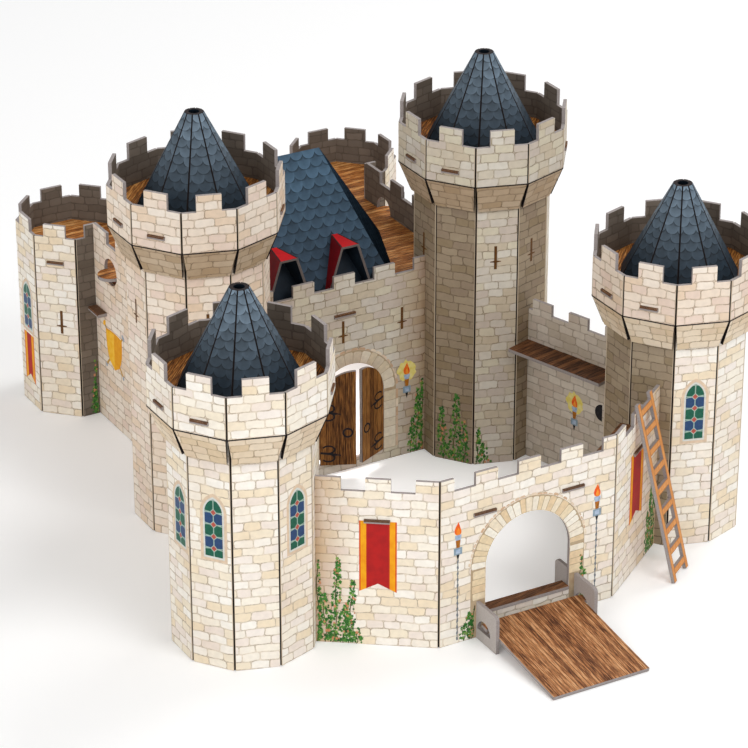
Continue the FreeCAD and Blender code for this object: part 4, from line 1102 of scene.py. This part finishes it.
printIvy("ivy_rear_right_b", towerFace("rear_right", 0), [(34, 33, 34, 3), (27, 28, 20, 5)], 10, 2, 35.5)
for word, side in (("left", -1), ("right", 1)):
    fore = face(side * (keepPlan["side"] + 0.4), keepPlan["turretY"] - keepPlan["turretFlat"], -90, side * 90)
    printIvy("ivy_turret_" + word, fore, [(2.5, 2.0, 52, 2.5), (5, 5, 26, 3)], 11, 0.2, 14)
print("ivy printed")

# The dark scored line where each crown's flaps bend in, painted shade in the crease
crownPlan = {"band": 36.1, "merlon": 14.3, "line": 0.95}
for tower in towerNames:
    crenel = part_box(tower + "_tower_crown")[1].z / millimetre - crownPlan["merlon"]
    length = 2 * crownFlat * math.tan(math.pi / 10)
    z = crenel - crownPlan["band"]
    line = rectangle(0.3, length - 0.3, z - 0.15, z + crownPlan["line"])
    walls = [towerFace(tower, k, crownFlat) for k in range(10)]
    slabMesh("crown_score_" + tower, walls, [(line, -0.4, 0.08, 0, 0.5)] * 10, (foldGroove,))

# Floor, light and camera
# yard is the painted light on the courtyard floor
studio = {"floor": "f4f4f4", "lift": 0.12, "yard": 0.36, "sky": 0.55, "key": 26.0, "fill": 25.0, "top": 30.0,
          "keep": 0.5}
bpy.ops.mesh.primitive_plane_add(size=14, location=(0, 0, -0.0002))
ground = bpy.context.object
ground.name = "studio_floor"
material, add = startMaterial("studioFloor")
seen = add("LightPath", out="Is Camera Ray")
# camera rays see the floor glow, more in the courtyard: painted light on the courtyard floor, an evenly bright
# floor further out
reach = add("VectorMath DISTANCE", (add("TexCoord", out="Object"), (0, -0.07, 0)), "Value")
lift = add("MapRange", (reach, 0.09, 0.17, studio["yard"], studio["lift"]))
glow = add("Math MULTIPLY", (seen, lift))
shader = add("BsdfPrincipled", {"Base Color": ink(studio["floor"]), "Roughness": 0.95, "Specular IOR Level": 0.18,
                                "Emission Strength": glow, "Emission Color": (1, 1, 1, 1)})
add("OutputMaterial", {0: shader}, None)
ground.data.materials.append(material)

world = bpy.data.worlds.new("studio")
bpy.context.scene.world = world
world.use_nodes = True
world.node_tree.nodes.clear()
add = partial(addNode, world.node_tree)
path = add("LightPath", (), None).outputs
direct = add("Math MAXIMUM", (path["Is Camera Ray"], path["Is Glossy Ray"]))
strength = add("MapRange", (direct, 0.0, 1.0, studio["sky"], 1.0))
add("OutputWorld", {0: add("Background", {0: (1, 1, 1, 1), 1: strength})}, None)


def softbox(name, place, target, size, power):
    lamp = bpy.data.lights.new(name, "AREA")
    lamp.shape = "DISK"
    lamp.size = size
    lamp.energy = power
    piece = bpy.data.objects.new(name, lamp)
    bpy.context.scene.collection.objects.link(piece)
    piece.location = place
    piece.rotation_euler = (Vector(target) - Vector(place)).to_track_quat("-Z", "Y").to_euler()


softbox("key_softbox", (0.5, -2.0, 2.3), (0, 0, 0.1), 1.4, studio["key"])
softbox("fill_softbox", (-2.4, -1.5, 1.5), (0, 0, 0.1), 1.6, studio["fill"])
softbox("top_softbox", (1.9, 0.5, 2.6), (0, 0, 0.1), 1.5, studio["top"])
softbox("keep_lamp", (0, 0.13, 0.14), (0, 0.13, 0), 0.12, studio["keep"])

photoCamera = {"pixels": 748, "focal": 3341.73, "yaw": 29.4267, "pitch": 26.3712, "roll": -0.0502,
               "place": (-1248.2, -2060.9, 1375.1), "sensor": 36.0}
view = bpy.data.cameras.new("photo_camera")
view.sensor_width = photoCamera["sensor"]
view.lens = photoCamera["focal"] * photoCamera["sensor"] / photoCamera["pixels"]
view.clip_end = 50
camera = bpy.data.objects.new("photo_camera", view)
bpy.context.scene.collection.objects.link(camera)
yaw, pitch, roll = (math.radians(photoCamera[key]) for key in ("yaw", "pitch", "roll"))
forward = Vector((math.sin(yaw) * math.cos(pitch), math.cos(yaw) * math.cos(pitch), -math.sin(pitch)))
level = Vector((math.cos(yaw), -math.sin(yaw), 0))
upward = level.cross(forward)
right = level * math.cos(roll) + upward * math.sin(roll)
upward = upward * math.cos(roll) - level * math.sin(roll)
turned = Matrix((right, upward, -forward)).transposed().to_4x4()
x, y, z = photoCamera["place"]
camera.matrix_world = Matrix.Translation((x * millimetre, yardY + y * millimetre, z * millimetre)) @ turned
bpy.context.scene.camera = camera
bpy.context.scene.view_settings.view_transform = "Standard"
print("floor, light and camera set")
